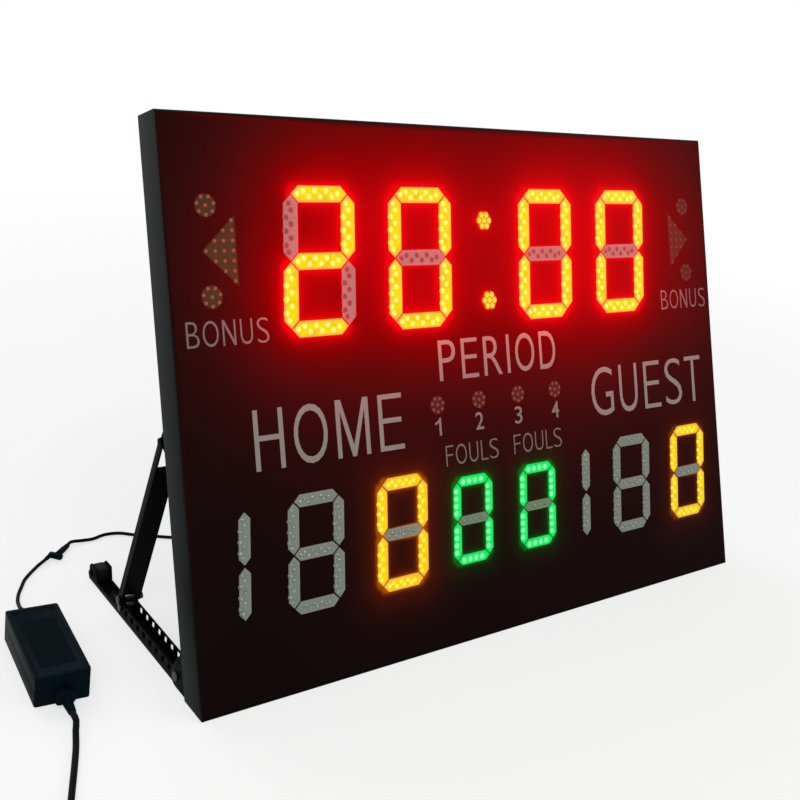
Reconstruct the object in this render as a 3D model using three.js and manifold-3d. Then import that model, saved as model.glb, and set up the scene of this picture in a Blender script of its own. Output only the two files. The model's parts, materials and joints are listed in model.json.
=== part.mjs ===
// Electronic scoreboard: a flat steel case with seven-segment LED digits, leaning back on a folding stand.
// Millimetres, +X to the viewer's right along the board, +Y towards the back, +Z up, floor at z = 0.
// Origin: centre of the footprint of case and stand, on the floor.

import * as THREE from "three";
import { mergeGeometries, mergeVertices } from "three/addons/utils/BufferGeometryUtils.js";
import Module from "manifold-3d";

const wasm = await Module();
wasm.setup();

// Driving dimensions of the case
const caseDepth = 34;
const leanDegrees = 20;
const sheet = 1.5;
const seat = 0.3;
const overrun = 4;

// Driving dimensions of the display, whose rows stand on each other from the bottom of the face
const clockDigit = { height: 152.4, width: 86, stroke: 16.6 };
const scoreDigit = { height: 119, width: 67, stroke: 12.8 };
const foulDigit = { height: 97, width: 57, stroke: 10.5 };
const bottomMargin = 77;
const topMargin = 68.8;
const sideMargin = 34;
const periodAboveScore = 70.4;
const clockAbovePeriod = 85.4;
const clockInner = 94.3;
const clockPitch = 130;
const scorePitch = 109.5;
const foulMiddle = 4;
const foulPitch = 100;
const foulDrop = 2.1;
const homeToFouls = 99;
const foulsToGuest = 163.5;

// Round lamps of the clock's colon and the period row, and the bonus lamps with their arrows
const colonRadius = 11;
const colonDrop = 5.7;
const colonSpread = 90.5;
const periodRadius = 10.2;
const periodMiddle = 3.3;
const periodPitch = 59.8;
const periodCount = 4;
const bonusRadius = 11.5;
const bonusRise = 12.4;
const bonusSpread = 87;
const bonusFromArrow = 30.5;
const arrowBeyondClock = 51.7;
const arrowLength = 38;
const arrowHalfHeight = 35;

// Where the rows and columns come to stand: heights above the face's bottom edge, columns from its middle
const scoreZ = bottomMargin + scoreDigit.height / 2;
const foulZ = scoreZ - foulDrop;
const periodZ = scoreZ + scoreDigit.height / 2 + periodAboveScore;
const clockZ = periodZ + clockAbovePeriod + clockDigit.height / 2;
const colonMiddle = clockZ - colonDrop;
const bonusMiddle = clockZ + bonusRise;
const homeX = foulMiddle - foulPitch / 2 - homeToFouls - scorePitch;
const guestX = foulMiddle + foulPitch / 2 + foulsToGuest;
const scoreEdge = guestX + scorePitch + scoreDigit.width / 2;
const arrowBase = clockInner + clockPitch + clockDigit.width / 2 + arrowBeyondClock;
const arrowTip = arrowBase + arrowLength;
const bonusX = arrowBase + bonusFromArrow;
const halfWidth = Math.max(bonusX + bonusRadius, scoreEdge) + sideMargin;
const boardHeight = clockZ + clockDigit.height / 2 + topMargin;

// Derived directions of the leaning case: along its face, and out of its back
const lean = THREE.MathUtils.degToRad(leanDegrees);
const leanSin = Math.sin(lean);
const leanCos = Math.cos(lean);
const backFoot = caseDepth / leanCos;

// Driving dimensions of the stand
const railLength = 225;
const railWidth = 18;
const railHeight = 16;
const railInset = 4.5;
const strutWidth = 22;
const strutDepth = 9;
const strutLength = 221;
const pivotReach = 138.5;
const pivotHeight = 20;
const hingeHeight = 12;
const hingeStandOff = 20;
const stripThickness = 1.5;

const hingeAlong = (hingeHeight + leanSin * hingeStandOff) / leanCos;
const hingeY = backFoot + hingeAlong * leanSin + hingeStandOff * leanCos;
const railRear = hingeY + railLength;
const originY = railRear / 2;

// Materials
const paint = (color, roughness = 0.5, metalness = 0) =>
  new THREE.MeshStandardMaterial({ color, roughness, metalness });
const blackPaint = paint(0x1b1c1d, 0.45, 0.3);
const panelBlack = paint(0x150d0d, 0.35);
const steel = paint(0x8d9094, 0.35, 1);
const blackSteel = paint(0x242628, 0.4, 0.8);
const boardGreen = paint(0x1d4a2c, 0.6);
const blackPlastic = paint(0x14181b, 0.45);
const cordBlack = paint(0x101112, 0.6);
const clockLens = paint(0xb48a84, 0.5);
const scoreLens = paint(0x8d978e, 0.5);
const foulLens = paint(0x9aa39b, 0.5);
const lampLens = paint(0x6d4a38, 0.5);
const ribbonGrey = paint(0x6f7478, 0.7);

// Solids from geometries, and back
function solidOf(geometry) {
  const bare = geometry.clone();
  for (const name of Object.keys(bare.attributes)) if (name !== "position") bare.deleteAttribute(name);
  const merged = mergeVertices(bare, 1e-4);
  return new wasm.Manifold(new wasm.Mesh({
    numProp: 3,
    vertProperties: new Float32Array(merged.attributes.position.array),
    triVerts: new Uint32Array(merged.index.array),
  }));
}

function geometryOf(solid) {
  const mesh = solid.getMesh();
  const geometry = new THREE.BufferGeometry();
  geometry.setAttribute("position", new THREE.BufferAttribute(new Float32Array(mesh.vertProperties), 3));
  geometry.setIndex(new THREE.BufferAttribute(new Uint32Array(mesh.triVerts), 1));
  return geometry;
}

const join = (...parts) => geometryOf(parts.map(solidOf).reduce((whole, piece) => whole.add(piece)));

function cut(base, tools) {
  if (tools.length === 0) return base;
  return geometryOf(tools.map(solidOf).reduce((whole, tool) => whole.subtract(tool), solidOf(base)));
}

function together(pieces) {
  const bare = pieces.map((piece) => {
    const copy = piece.index ? piece.toNonIndexed() : piece.clone();
    for (const name of Object.keys(copy.attributes)) if (name !== "position") copy.deleteAttribute(name);
    return copy;
  });
  return mergeVertices(mergeGeometries(bare), 1e-4);
}

// A box between two corners
function block([x0, x1], [y0, y1], [z0, z1]) {
  const geometry = new THREE.BoxGeometry(Math.abs(x1 - x0), Math.abs(y1 - y0), Math.abs(z1 - z0));
  return geometry.translate((x0 + x1) / 2, (y0 + y1) / 2, (z0 + z1) / 2);
}

// An outline in the (y, z) plane, drawn out along X from x0 to x1
function sideways(outline, x0, x1, arcSteps = 6) {
  const shape = outline instanceof THREE.Shape ? outline : new THREE.Shape(outline.map(([y, z]) => new THREE.Vector2(y, z)));
  const depth = Math.abs(x1 - x0);
  const geometry = new THREE.ExtrudeGeometry(shape, { depth, bevelEnabled: false, curveSegments: arcSteps });
  const turn = new THREE.Matrix4().set(0, 0, 1, Math.min(x0, x1), 1, 0, 0, 0, 0, 1, 0, 0, 0, 0, 0, 1);
  return geometry.applyMatrix4(turn);
}

// An outline in the face plane (x, z), drawn out along Y from y0 to y1
function faceways(outline, y0, y1) {
  const shape = new THREE.Shape(outline.map(([x, z]) => new THREE.Vector2(x, z)));
  const geometry = new THREE.ExtrudeGeometry(shape, { depth: y1 - y0, bevelEnabled: false });
  const turn = new THREE.Matrix4().set(1, 0, 0, 0, 0, 0, -1, y1, 0, 1, 0, 0, 0, 0, 0, 1);
  return geometry.applyMatrix4(turn);
}

// A round bar along one axis, through the point given by the other two coordinates
function bar(axis, radius, from, to, across, sides = 12) {
  const geometry = new THREE.CylinderGeometry(radius, radius, Math.abs(to - from), sides);
  const middle = (from + to) / 2;
  if (axis === "x") return geometry.rotateZ(Math.PI / 2).translate(middle, across[0], across[1]);
  if (axis === "y") return geometry.translate(across[0], middle, across[1]);
  return geometry.rotateX(Math.PI / 2).translate(across[0], across[1], middle);
}

// A turned piece about Y: pairs of radius and distance along Y
function turned(profile, x, z, sides = 16) {
  const points = profile.map(([radius, along]) => new THREE.Vector2(radius, along));
  return new THREE.LatheGeometry(points, sides).translate(x, 0, z);
}

const scoreboard = new THREE.Group();
const caseGroup = new THREE.Group();
caseGroup.position.set(0, -originY, 0);
caseGroup.rotation.x = -lean;
const standGroup = new THREE.Group();
standGroup.position.set(0, -originY, 0);
const powerGroup = new THREE.Group();
powerGroup.position.set(0, -originY, 0);
scoreboard.add(caseGroup, standGroup, powerGroup);

function place(group, name, geometry, material) {
  const mesh = new THREE.Mesh(geometry, material);
  mesh.name = name;
  group.add(mesh);
}

// Case frame: four folded walls in one ring, with return lips behind the panel and under the rear cover
const bevelRise = leanSin / leanCos;
const lipWidth = 12;
const lipThickness = 1.2;
const panelThickness = 3;
const coverThickness = 1.5;
const panelRear = panelThickness + seat;
const coverFront = caseDepth - coverThickness;
const rearLip = coverFront - seat;

// A ring round the case between two depths, its bottom side following the slanted cut
function ringSolid(inset, front, rear) {
  const outline = [
    [front, front * bevelRise + inset],
    [rear, rear * bevelRise + inset],
    [rear, boardHeight - inset],
    [front, boardHeight - inset],
  ];
  return sideways(outline, -halfWidth + inset, halfWidth - inset);
}

function caseRing(inset, front, rear, width) {
  return cut(ringSolid(inset, front, rear), [ringSolid(inset + width, front - overrun, rear + overrun)]);
}

function addCase() {
  const walls = caseRing(0, 0, caseDepth, sheet);
  const front = caseRing(sheet / 2, panelRear, panelRear + lipThickness, lipWidth);
  const rear = caseRing(sheet / 2, rearLip - lipThickness, rearLip, lipWidth);
  place(caseGroup, "case_frame", join(walls, front, rear), blackPaint);
}

// Rear cover with its screw heads, the sounder's holes and the gland's hole
const coverBottom = caseDepth * bevelRise + sheet + seat;
const coverScrewHead = 3.4;
const coverScrewHeight = 1.8;
const coverScrewEdge = sheet + seat + lipWidth / 2;
const coverScrewColumnShares = [0.08, 0.36, 0.64, 0.92];
const coverScrewRowShares = [0.33, 0.86];
const glandX = -95;
const glandZ = 60;
const glandThreadRadius = 6;
const glandHoleRadius = 6.4;
const sounderX = 150;
const sounderRise = 63.6;
const sounderZ = periodZ + sounderRise;
const sounderRadius = 20;
const sounderDepth = 12;
const sounderHoleRadius = 2;
const sounderHoleRing = 9;
const sounderHoleCount = 6;

function coverScrews() {
  const side = halfWidth - coverScrewEdge;
  const low = coverBottom + lipWidth / 2;
  const high = boardHeight - coverScrewEdge;
  const spots = [
    ...coverScrewColumnShares.flatMap((share) => [low, high].map((z) => [side * (2 * share - 1), z])),
    ...coverScrewRowShares.flatMap((share) => [-side, side].map((x) => [x, low + (high - low) * share])),
  ];
  return spots.map((spot) => bar("y", coverScrewHead, coverFront, caseDepth + coverScrewHeight, spot, 8));
}

function sounderHoles() {
  const through = [coverFront - overrun, caseDepth + overrun];
  const holes = [bar("y", sounderHoleRadius, ...through, [sounderX, sounderZ], 6)];
  for (let i = 0; i < sounderHoleCount; i++) {
    const angle = (i / sounderHoleCount) * 2 * Math.PI;
    const spot = [sounderX + sounderHoleRing * Math.cos(angle), sounderZ + sounderHoleRing * Math.sin(angle)];
    holes.push(bar("y", sounderHoleRadius, ...through, spot, 6));
  }
  return holes;
}

function addRearCover() {
  const edge = halfWidth - sheet - seat;
  const sheetMetal = block([-edge, edge], [coverFront, caseDepth], [coverBottom, boardHeight - sheet - seat]);
  const glandHole = bar("y", glandHoleRadius, coverFront - overrun, caseDepth + overrun, [glandX, glandZ], 16);
  const cover = join(sheetMetal, ...coverScrews());
  place(caseGroup, "rear_cover", cut(cover, [...sounderHoles(), glandHole]), blackPaint);
}

// Seven-segment digits: lens bars with mitred ends, slanted to the right, on a thin back plate each
const slant = 0.0716;
const mitreGap = 1.6;
const windowGap = 0.3;
const lensProud = 0.8;
const plateThickness = 1.5;
const plateFront = panelRear;
const plateRear = plateFront + plateThickness;
const plateMargin = 3;
const wholeDigit = "abcdefg";
const leadingOne = "bc";

// Ends of each segment on the strokes' centre lines, as shares of half the digit's width and height
const segmentShares = {
  a: [[-1, 1], [1, 1]],
  b: [[1, 1], [1, 0]],
  c: [[1, 0], [1, -1]],
  d: [[-1, -1], [1, -1]],
  e: [[-1, 0], [-1, -1]],
  f: [[-1, 1], [-1, 0]],
  g: [[-1, 0], [1, 0]],
};

function segmentOutline(digit, letter, grow) {
  const reachX = (digit.width - digit.stroke) / 2;
  const reachZ = (digit.height - digit.stroke) / 2;
  const [from, to] = segmentShares[letter].map(([x, z]) => new THREE.Vector2(x * reachX, z * reachZ));
  const along = to.clone().sub(from).normalize();
  const across = new THREE.Vector2(-along.y, along.x);
  const half = digit.stroke / 2 + grow;
  const tip = (mitreGap / 2 - grow) * Math.SQRT2;
  const start = from.addScaledVector(along, tip);
  const end = to.addScaledVector(along, -tip);
  const shoulder = (point, sign, side) =>
    point.clone().addScaledVector(along, sign * half).addScaledVector(across, side * half);
  const points = [
    start, shoulder(start, 1, -1), shoulder(end, -1, -1),
    end, shoulder(end, -1, 1), shoulder(start, 1, 1),
  ];
  return points.map((point) => [point.x + slant * point.y, point.y]);
}

function segmentBars({ size, letters, at: [x, z] }, grow, front, rear) {
  return [...letters].map((letter) =>
    faceways(segmentOutline(size, letter, grow).map(([across, up]) => [x + across, z + up]), front, rear));
}

function digitPlate({ size, letters, at: [x, z] }) {
  const left = letters === leadingOne ? size.width / 2 - size.stroke : -size.width / 2;
  const [low, high] = [-size.height / 2 - plateMargin, size.height / 2 + plateMargin];
  const corners = [
    [left - plateMargin, low], [size.width / 2 + plateMargin, low],
    [size.width / 2 + plateMargin, high], [left - plateMargin, high],
  ];
  return faceways(corners.map(([across, up]) => [x + across + slant * up, z + up]), plateFront, plateRear);
}

const clockRow = { size: clockDigit, letters: wholeDigit, lens: clockLens };
const scoreRow = { size: scoreDigit, letters: wholeDigit, lens: scoreLens };
const foulRow = { size: foulDigit, letters: wholeDigit, lens: foulLens };
const digits = [
  { ...clockRow, name: "clock_tens_of_minutes", at: [-clockInner - clockPitch, clockZ] },
  { ...clockRow, name: "clock_minutes", at: [-clockInner, clockZ] },
  { ...clockRow, name: "clock_tens_of_seconds", at: [clockInner, clockZ] },
  { ...clockRow, name: "clock_seconds", at: [clockInner + clockPitch, clockZ] },
  { ...scoreRow, name: "home_hundreds", at: [homeX - scorePitch, scoreZ], letters: leadingOne },
  { ...scoreRow, name: "home_tens", at: [homeX, scoreZ] },
  { ...scoreRow, name: "home_units", at: [homeX + scorePitch, scoreZ] },
  { ...scoreRow, name: "guest_hundreds", at: [guestX - scorePitch, scoreZ], letters: leadingOne },
  { ...scoreRow, name: "guest_tens", at: [guestX, scoreZ] },
  { ...scoreRow, name: "guest_units", at: [guestX + scorePitch, scoreZ] },
  { ...foulRow, name: "home_fouls", at: [foulMiddle - foulPitch / 2, foulZ] },
  { ...foulRow, name: "guest_fouls", at: [foulMiddle + foulPitch / 2, foulZ] },
];

const disc = (radius, spot, front, rear) => bar("y", radius, front, rear, spot, 14);

function colonLamps(grow, front, rear) {
  return [1, -1].map((side) => disc(colonRadius + grow, [0, colonMiddle + side * colonSpread / 2], front, rear));
}

function periodLamps(grow, front, rear) {
  const lamps = [];
  for (let i = 0; i < periodCount; i++) {
    const x = periodMiddle + (i - (periodCount - 1) / 2) * periodPitch;
    lamps.push(disc(periodRadius + grow, [x, periodZ], front, rear));
  }
  return lamps;
}

function bonusLamps(side, grow, front, rear) {
  const slope = arrowHalfHeight / (arrowTip - arrowBase);
  const spare = grow * (slope + Math.sqrt(1 + slope * slope));
  const arrow = [
    [side * (arrowBase - grow), bonusMiddle - arrowHalfHeight - spare],
    [side * (arrowTip + spare / slope), bonusMiddle],
    [side * (arrowBase - grow), bonusMiddle + arrowHalfHeight + spare],
  ];
  const circles = [1, -1].map((end) =>
    disc(bonusRadius + grow, [side * bonusX, bonusMiddle + end * bonusSpread / 2], front, rear));
  return [...circles, faceways(side < 0 ? arrow.reverse() : arrow, front, rear)];
}

function lampPlate(x, z) {
  const widen = ([low, high]) => [low - plateMargin, high + plateMargin];
  return block(widen(x), [plateFront, plateRear], widen(z));
}

const periodSpan = (periodCount - 1) / 2 * periodPitch + periodRadius;
const periodColumns = [periodMiddle - periodSpan, periodMiddle + periodSpan];
const periodRows = [periodZ - periodRadius, periodZ + periodRadius];
const colonRows = [colonMiddle - colonSpread / 2 - colonRadius, colonMiddle + colonSpread / 2 + colonRadius];
const bonusRows = [bonusMiddle - bonusSpread / 2 - bonusRadius, bonusMiddle + bonusSpread / 2 + bonusRadius];
const bonusColumns = (side) => [side * arrowBase, side * (bonusX + bonusRadius)].sort((a, b) => a - b);

function addDisplay() {
  const proud = [-lensProud, plateFront + plateThickness / 2];
  const open = [-overrun, panelThickness + overrun];
  const windows = [];
  for (const digit of digits) {
    place(caseGroup, digit.name, join(digitPlate(digit), ...segmentBars(digit, 0, ...proud)), digit.lens);
    windows.push(...segmentBars(digit, windowGap, ...open));
  }
  const colonPlate = lampPlate([-colonRadius, colonRadius], colonRows);
  place(caseGroup, "clock_colon", join(colonPlate, ...colonLamps(0, ...proud)), clockLens);
  place(caseGroup, "period_lamps", join(lampPlate(periodColumns, periodRows), ...periodLamps(0, ...proud)), lampLens);
  windows.push(...colonLamps(windowGap, ...open), ...periodLamps(windowGap, ...open));
  for (const [name, side] of [["bonus_lamps_left", -1], ["bonus_lamps_right", 1]]) {
    place(caseGroup, name, join(lampPlate(bonusColumns(side), bonusRows), ...bonusLamps(side, 0, ...proud)), lampLens);
    windows.push(...bonusLamps(side, windowGap, ...open));
  }
  const edge = halfWidth - sheet - seat;
  const low = panelThickness * bevelRise + sheet + seat;
  const panel = block([-edge, edge], [0, panelThickness], [low, boardHeight - sheet - seat]);
  place(caseGroup, "front_panel", cut(panel, windows), panelBlack);
}

// LED boards behind the lens plates, each on a channel that runs from side wall to side wall
const boardFront = plateRear + seat;
const boardThickness = 1.6;
const boardRear = boardFront + boardThickness;
const boardMargin = 8;
const channelFront = boardRear + seat;
const channelSheet = 1.2;
const channelHeight = 24;
const controllerRoom = 12.5;
const channelRear = coverFront - controllerRoom;
const hatLip = 10;

function ledBoard([x0, x1], [z0, z1]) {
  const across = [x0 - boardMargin, x1 + boardMargin];
  return block(across, [boardFront, boardRear], [z0 - boardMargin, z1 + boardMargin]);
}

function channelAt(z, lip) {
  const [low, high] = [z - channelHeight / 2, z + channelHeight / 2];
  const outline = [
    [channelRear, low - lip], [channelRear, low + channelSheet], [channelFront + channelSheet, low + channelSheet],
    [channelFront + channelSheet, high - channelSheet], [channelRear, high - channelSheet], [channelRear, high + lip],
    [channelRear - channelSheet, high + lip], [channelRear - channelSheet, high],
    [channelFront, high], [channelFront, low], [channelRear - channelSheet, low], [channelRear - channelSheet, low - lip],
  ];
  return sideways(outline, -halfWidth + sheet + seat, halfWidth - sheet - seat);
}

function addLedBoards() {
  const clockReach = clockDigit.height / 2;
  const scoreReach = scoreDigit.height / 2;
  const ends = bonusColumns(1)[1];
  const scoreColumns = [homeX - scorePitch + scoreDigit.width / 2 - scoreDigit.stroke, guestX + scorePitch + scoreDigit.width / 2];
  place(caseGroup, "clock_led_board", ledBoard([-ends, ends], [clockZ - clockReach, clockZ + clockReach]), boardGreen);
  place(caseGroup, "period_led_board", ledBoard(periodColumns, periodRows), boardGreen);
  place(caseGroup, "score_led_board", ledBoard(scoreColumns, [scoreZ - scoreReach, scoreZ + scoreReach]), boardGreen);
  place(caseGroup, "clock_channel", channelAt(clockZ, lipThickness), steel);
  place(caseGroup, "controller_channel", channelAt(periodZ, hatLip), steel);
  place(caseGroup, "score_channel", channelAt(scoreZ, lipThickness), steel);
}

// Controller board on the middle channel's lips, its parts facing the rear cover
const controllerWidth = 185;
const controllerHeight = 58;
const controllerShift = 2.5;
const controller = {
  x: [controllerShift - controllerWidth / 2, controllerShift + controllerWidth / 2],
  z: [periodZ - controllerHeight / 2, periodZ + controllerHeight / 2],
};
const controllerFront = channelRear + seat;
const controllerRear = controllerFront + boardThickness;
const chipHeight = 3;
const socketHeight = 6.5;
// Low and high corners of the board's parts, as shares of the board's width and height
const chipShares = [[0.3, 0.3, 0.5, 0.7], [0.6, 0.35, 0.7, 0.65], [0.8, 0.3, 0.86, 0.75]];
const socketShares = [[0.04, 0.3, 0.14, 0.7], [0.2, 0.12, 0.24, 0.88]];

function onController([left, low, right, high], height) {
  const spanX = controller.x[1] - controller.x[0];
  const spanZ = controller.z[1] - controller.z[0];
  const across = [controller.x[0] + left * spanX, controller.x[0] + right * spanX];
  const up = [controller.z[0] + low * spanZ, controller.z[0] + high * spanZ];
  return block(across, [controllerRear - boardThickness / 2, controllerRear + height], up);
}

// A ribbon cable seen from the side: thick line along points of depth and height, square at both ends
const ribbonWidth = 24;
const ribbonThickness = 1;
const headerDepth = 4;
const headerHeight = 6;
const ribbonFront = channelRear - headerDepth;
const ribbonRear = controllerRear + seat + headerDepth;
const ribbonX = 60;

function ribbon(x, controllerZ, boardZ) {
  const towards = Math.sign(boardZ - controllerZ);
  const turn = controller.z[towards > 0 ? 1 : 0] + towards * headerHeight;
  const outline = [
    [ribbonRear, controllerZ], [ribbonRear, turn], [channelFront + headerDepth, turn + towards * headerHeight],
    [channelFront + headerDepth, boardZ],
  ];
  const back = outline.map(([depth, z]) => [depth - ribbonThickness, z]).reverse();
  const strip = sideways([...outline, ...back], x - ribbonWidth / 2, x + ribbonWidth / 2);
  const header = (front, rear, z) => block(
    [x - ribbonWidth / 2, x + ribbonWidth / 2], [front, rear], [z - headerHeight / 2, z + headerHeight / 2]);
  return join(
    strip,
    header(controllerRear + seat, ribbonRear, controllerZ + towards * headerHeight / 2),
    header(channelFront, channelFront + headerDepth, boardZ - towards * headerHeight / 2),
  );
}

function addController() {
  const card = block(controller.x, [controllerFront, controllerRear], controller.z);
  const chips = chipShares.map((share) => onController(share, chipHeight));
  const sockets = socketShares.map((share) => onController(share, socketHeight));
  place(caseGroup, "controller_board", join(card, ...chips, ...sockets), boardGreen);
  const clockEnd = clockZ - clockDigit.height / 2 + headerHeight;
  const scoreEnd = scoreZ + scoreDigit.height / 2 - headerHeight;
  place(caseGroup, "ribbon_cable_upper", ribbon(ribbonX, controller.z[1] - 2 * headerHeight, clockEnd), ribbonGrey);
  place(caseGroup, "ribbon_cable_lower", ribbon(ribbonX, controller.z[0] + 2 * headerHeight, scoreEnd), ribbonGrey);
  const sounderRear = coverFront - seat;
  place(caseGroup, "sounder",
    bar("y", sounderRadius, sounderRear - sounderDepth, sounderRear, [sounderX, sounderZ], 18), blackPlastic);
}

// Cable gland: thread through the cover, hexagonal flange, domed nut and nose
const glandFlangeRadius = 9;
const glandFlange = 4;
const glandNutRadius = 8;
const glandNut = 8;
const glandNoseRadius = 3.6;
const glandNose = 3.7;
const glandInside = 5;
const glandSeat = caseDepth + seat;
const glandTip = glandSeat + glandFlange + glandNut + glandNose;

function addGland() {
  const flange = bar("y", glandFlangeRadius, glandSeat, glandSeat + glandFlange, [glandX, glandZ], 6);
  const core = turned([
    [0, coverFront - glandInside],
    [glandThreadRadius, coverFront - glandInside],
    [glandThreadRadius, glandSeat + glandFlange / 2],
    [glandNutRadius, glandSeat + glandFlange / 2],
    [glandNutRadius, glandSeat + glandFlange + glandNut / 2],
    [glandNoseRadius, glandSeat + glandFlange + glandNut],
    [glandNoseRadius, glandTip],
    [0, glandTip],
  ], glandX, glandZ);
  place(caseGroup, "cable_gland", join(flange, core), blackPlastic);
}

// Side view of the stand: s runs up the case's back from the floor, n stands out of it
const backRise = caseDepth * bevelRise;
const pivotY = hingeY + pivotReach;
const pivotAlong = (pivotY - backFoot) * leanSin + pivotHeight * leanCos;
const pivotOut = (pivotY - backFoot) * leanCos - pivotHeight * leanSin;
const topOut = hingeStandOff - (pivotHeight - hingeHeight);
const topAlong = pivotAlong + Math.sqrt(strutLength ** 2 - (pivotOut - topOut) ** 2);
const pivotRadius = Math.hypot(pivotReach, pivotHeight - hingeHeight);
const foldedAlong = hingeAlong + pivotReach + strutLength;
const fromBack = (s, n) => [backFoot + s * leanSin + n * leanCos, s * leanCos - n * leanSin];
const [topY, topZ] = fromBack(topAlong, topOut);
const strutAngle = Math.atan2(pivotY - topY, topZ - pivotHeight);

// Depths across the stand are measured inwards from the case's side
const railInner = railInset + railWidth;
const standMiddle = railInset + railWidth / 2;
const strutOuter = standMiddle - strutWidth / 2;
const strutInner = standMiddle + strutWidth / 2;
const atDepth = (side, depth) => side * (halfWidth - depth);
const depthBar = (side, radius, from, to, across, sides = 12) =>
  bar("x", radius, atDepth(side, from), atDepth(side, to), across, sides);
const depthSheet = (side, outline, from, to) => sideways(outline, atDepth(side, from), atDepth(side, to));
const depthBlock = (side, [from, to], y, z) => block([atDepth(side, from), atDepth(side, to)], y, z);

// Points of an arc about a centre, angles in degrees
function arc([y, z], radius, from, to, steps = 6) {
  const points = [];
  for (let i = 0; i <= steps; i++) {
    const angle = THREE.MathUtils.degToRad(from + (to - from) * i / steps);
    points.push([y + radius * Math.cos(angle), z + radius * Math.sin(angle)]);
  }
  return points;
}

// The outline that a tight band round the given points would have
function bandRound(points) {
  const sorted = [...points].sort((a, b) => a[0] - b[0] || a[1] - b[1]);
  const turnOf = (a, b, c) => (b[0] - a[0]) * (c[1] - a[1]) - (b[1] - a[1]) * (c[0] - a[0]);
  const halfOf = (list) => {
    const chain = [];
    for (const point of list) {
      while (chain.length > 1 && turnOf(chain.at(-2), chain.at(-1), point) <= 0) chain.pop();
      chain.push(point);
    }
    return chain.slice(0, -1);
  };
  return [...halfOf(sorted), ...halfOf(sorted.reverse())];
}

const circleRound = (centre, radius) => arc(centre, radius, 0, 360, 16).slice(1);

// Hinge brackets on the case's back, with the pins that the rails turn on
const hingeCentre = [hingeY, hingeHeight];
const lugRadius = hingeHeight;
const pinRadius = 3;
const holeSlack = 0.3;
const headThickness = 1.5;
const pinHead = 5;
const bracketLow = 3;
const bracketHigh = 48;
const bracketOuter = railInset - seat - stripThickness;
const bracketInner = railInner + seat + stripThickness;

function addHinge(side, end) {
  const foot = [backFoot + seat / leanCos, 0];
  const ear = bandRound([...circleRound(hingeCentre, lugRadius), foot, fromBack(bracketHigh, seat)]);
  const plate = [
    fromBack(bracketLow, seat), fromBack(bracketLow, seat + stripThickness),
    fromBack(bracketHigh, seat + stripThickness), fromBack(bracketHigh, seat),
  ];
  const bracket = join(
    depthSheet(side, ear, bracketOuter, bracketOuter + stripThickness),
    depthSheet(side, ear, bracketInner - stripThickness, bracketInner),
    depthSheet(side, plate, bracketOuter + stripThickness / 2, bracketInner - stripThickness / 2),
  );
  const hole = depthBar(side, pinRadius + holeSlack, bracketOuter - overrun, bracketInner + overrun, hingeCentre);
  place(standGroup, `hinge_bracket_${end}`, cut(bracket, [hole]), blackSteel);
  const outerHead = bracketOuter - seat;
  const innerHead = bracketInner + seat;
  place(standGroup, `hinge_pin_${end}`, join(
    depthBar(side, pinRadius, outerHead - headThickness / 2, innerHead + headThickness / 2, hingeCentre),
    depthBar(side, pinHead, outerHead - headThickness, outerHead, hingeCentre),
    depthBar(side, pinHead, innerHead, innerHead + headThickness, hingeCentre, 6),
  ), steel);
}

// Floor rails: channels open at the top, with a row of square holes, a low stretch and two rear ears
const perforation = 7;
const perforationZ = 10.5;
const perforationPitch = 15;
const perforationsAhead = 8;
const perforationsBehind = 1;
const webStart = 1;
const lowStretch = 42;
const lowHeight = 5;
const earLength = 23;
const earHeight = 20;
const shoulderRun = 4;
const forkBoltRadius = 4;
const forkBoltZ = 8;
const forkBoltEdge = 5;

function flangeOutline() {
  const earFront = railRear - earLength;
  const lowFront = earFront - lowStretch;
  const rise = THREE.MathUtils.radToDeg(Math.asin((railHeight - hingeHeight) / lugRadius));
  return [
    ...arc(hingeCentre, lugRadius, 180 - rise, 270),
    [railRear, 0], [railRear, earHeight - shoulderRun], [railRear - shoulderRun, earHeight],
    [earFront + shoulderRun, earHeight], [earFront, lowHeight],
    [lowFront, lowHeight], [lowFront - shoulderRun, railHeight],
  ];
}

function addRail(side, end) {
  const channel = join(
    depthSheet(side, flangeOutline(), railInset, railInset + stripThickness),
    depthSheet(side, flangeOutline(), railInner - stripThickness, railInner),
    depthBlock(side, [railInset + stripThickness / 2, railInner - stripThickness / 2],
      [hingeY + webStart, railRear], [0, stripThickness]),
    depthBar(side, forkBoltRadius, railInset - headThickness, railInner + headThickness,
      [railRear - forkBoltEdge, forkBoltZ], 10),
  );
  const through = [railInset - overrun, railInner + overrun];
  const holes = [depthBar(side, pinRadius + holeSlack, ...through, hingeCentre)];
  for (let i = -perforationsAhead; i <= perforationsBehind; i++) {
    const y = pivotY + i * perforationPitch;
    holes.push(depthBlock(side, through, [y - perforation / 2, y + perforation / 2],
      [perforationZ - perforation / 2, perforationZ + perforation / 2]));
  }
  place(standGroup, `rail_${end}`, cut(channel, holes), blackSteel);
}

// Foot brackets clamped inside the rails, each with the pivot bolt that its strut turns on
const pivotCentre = [pivotY, pivotHeight];
const footHalf = 11;
const footRadius = 6;
const footOuter = railInset + stripThickness + seat;
const footInner = railInner - stripThickness - seat;
const clampCentre = [pivotY, perforationZ];
const clampRadius = 2.8;
const clampHead = 4;
const clampHeadThickness = 1.7;
const pivotBoltRadius = 2.5;
const pivotBoltHead = 4.2;
const pivotHeadThickness = 2;
const nutThickness = 3.5;

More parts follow.
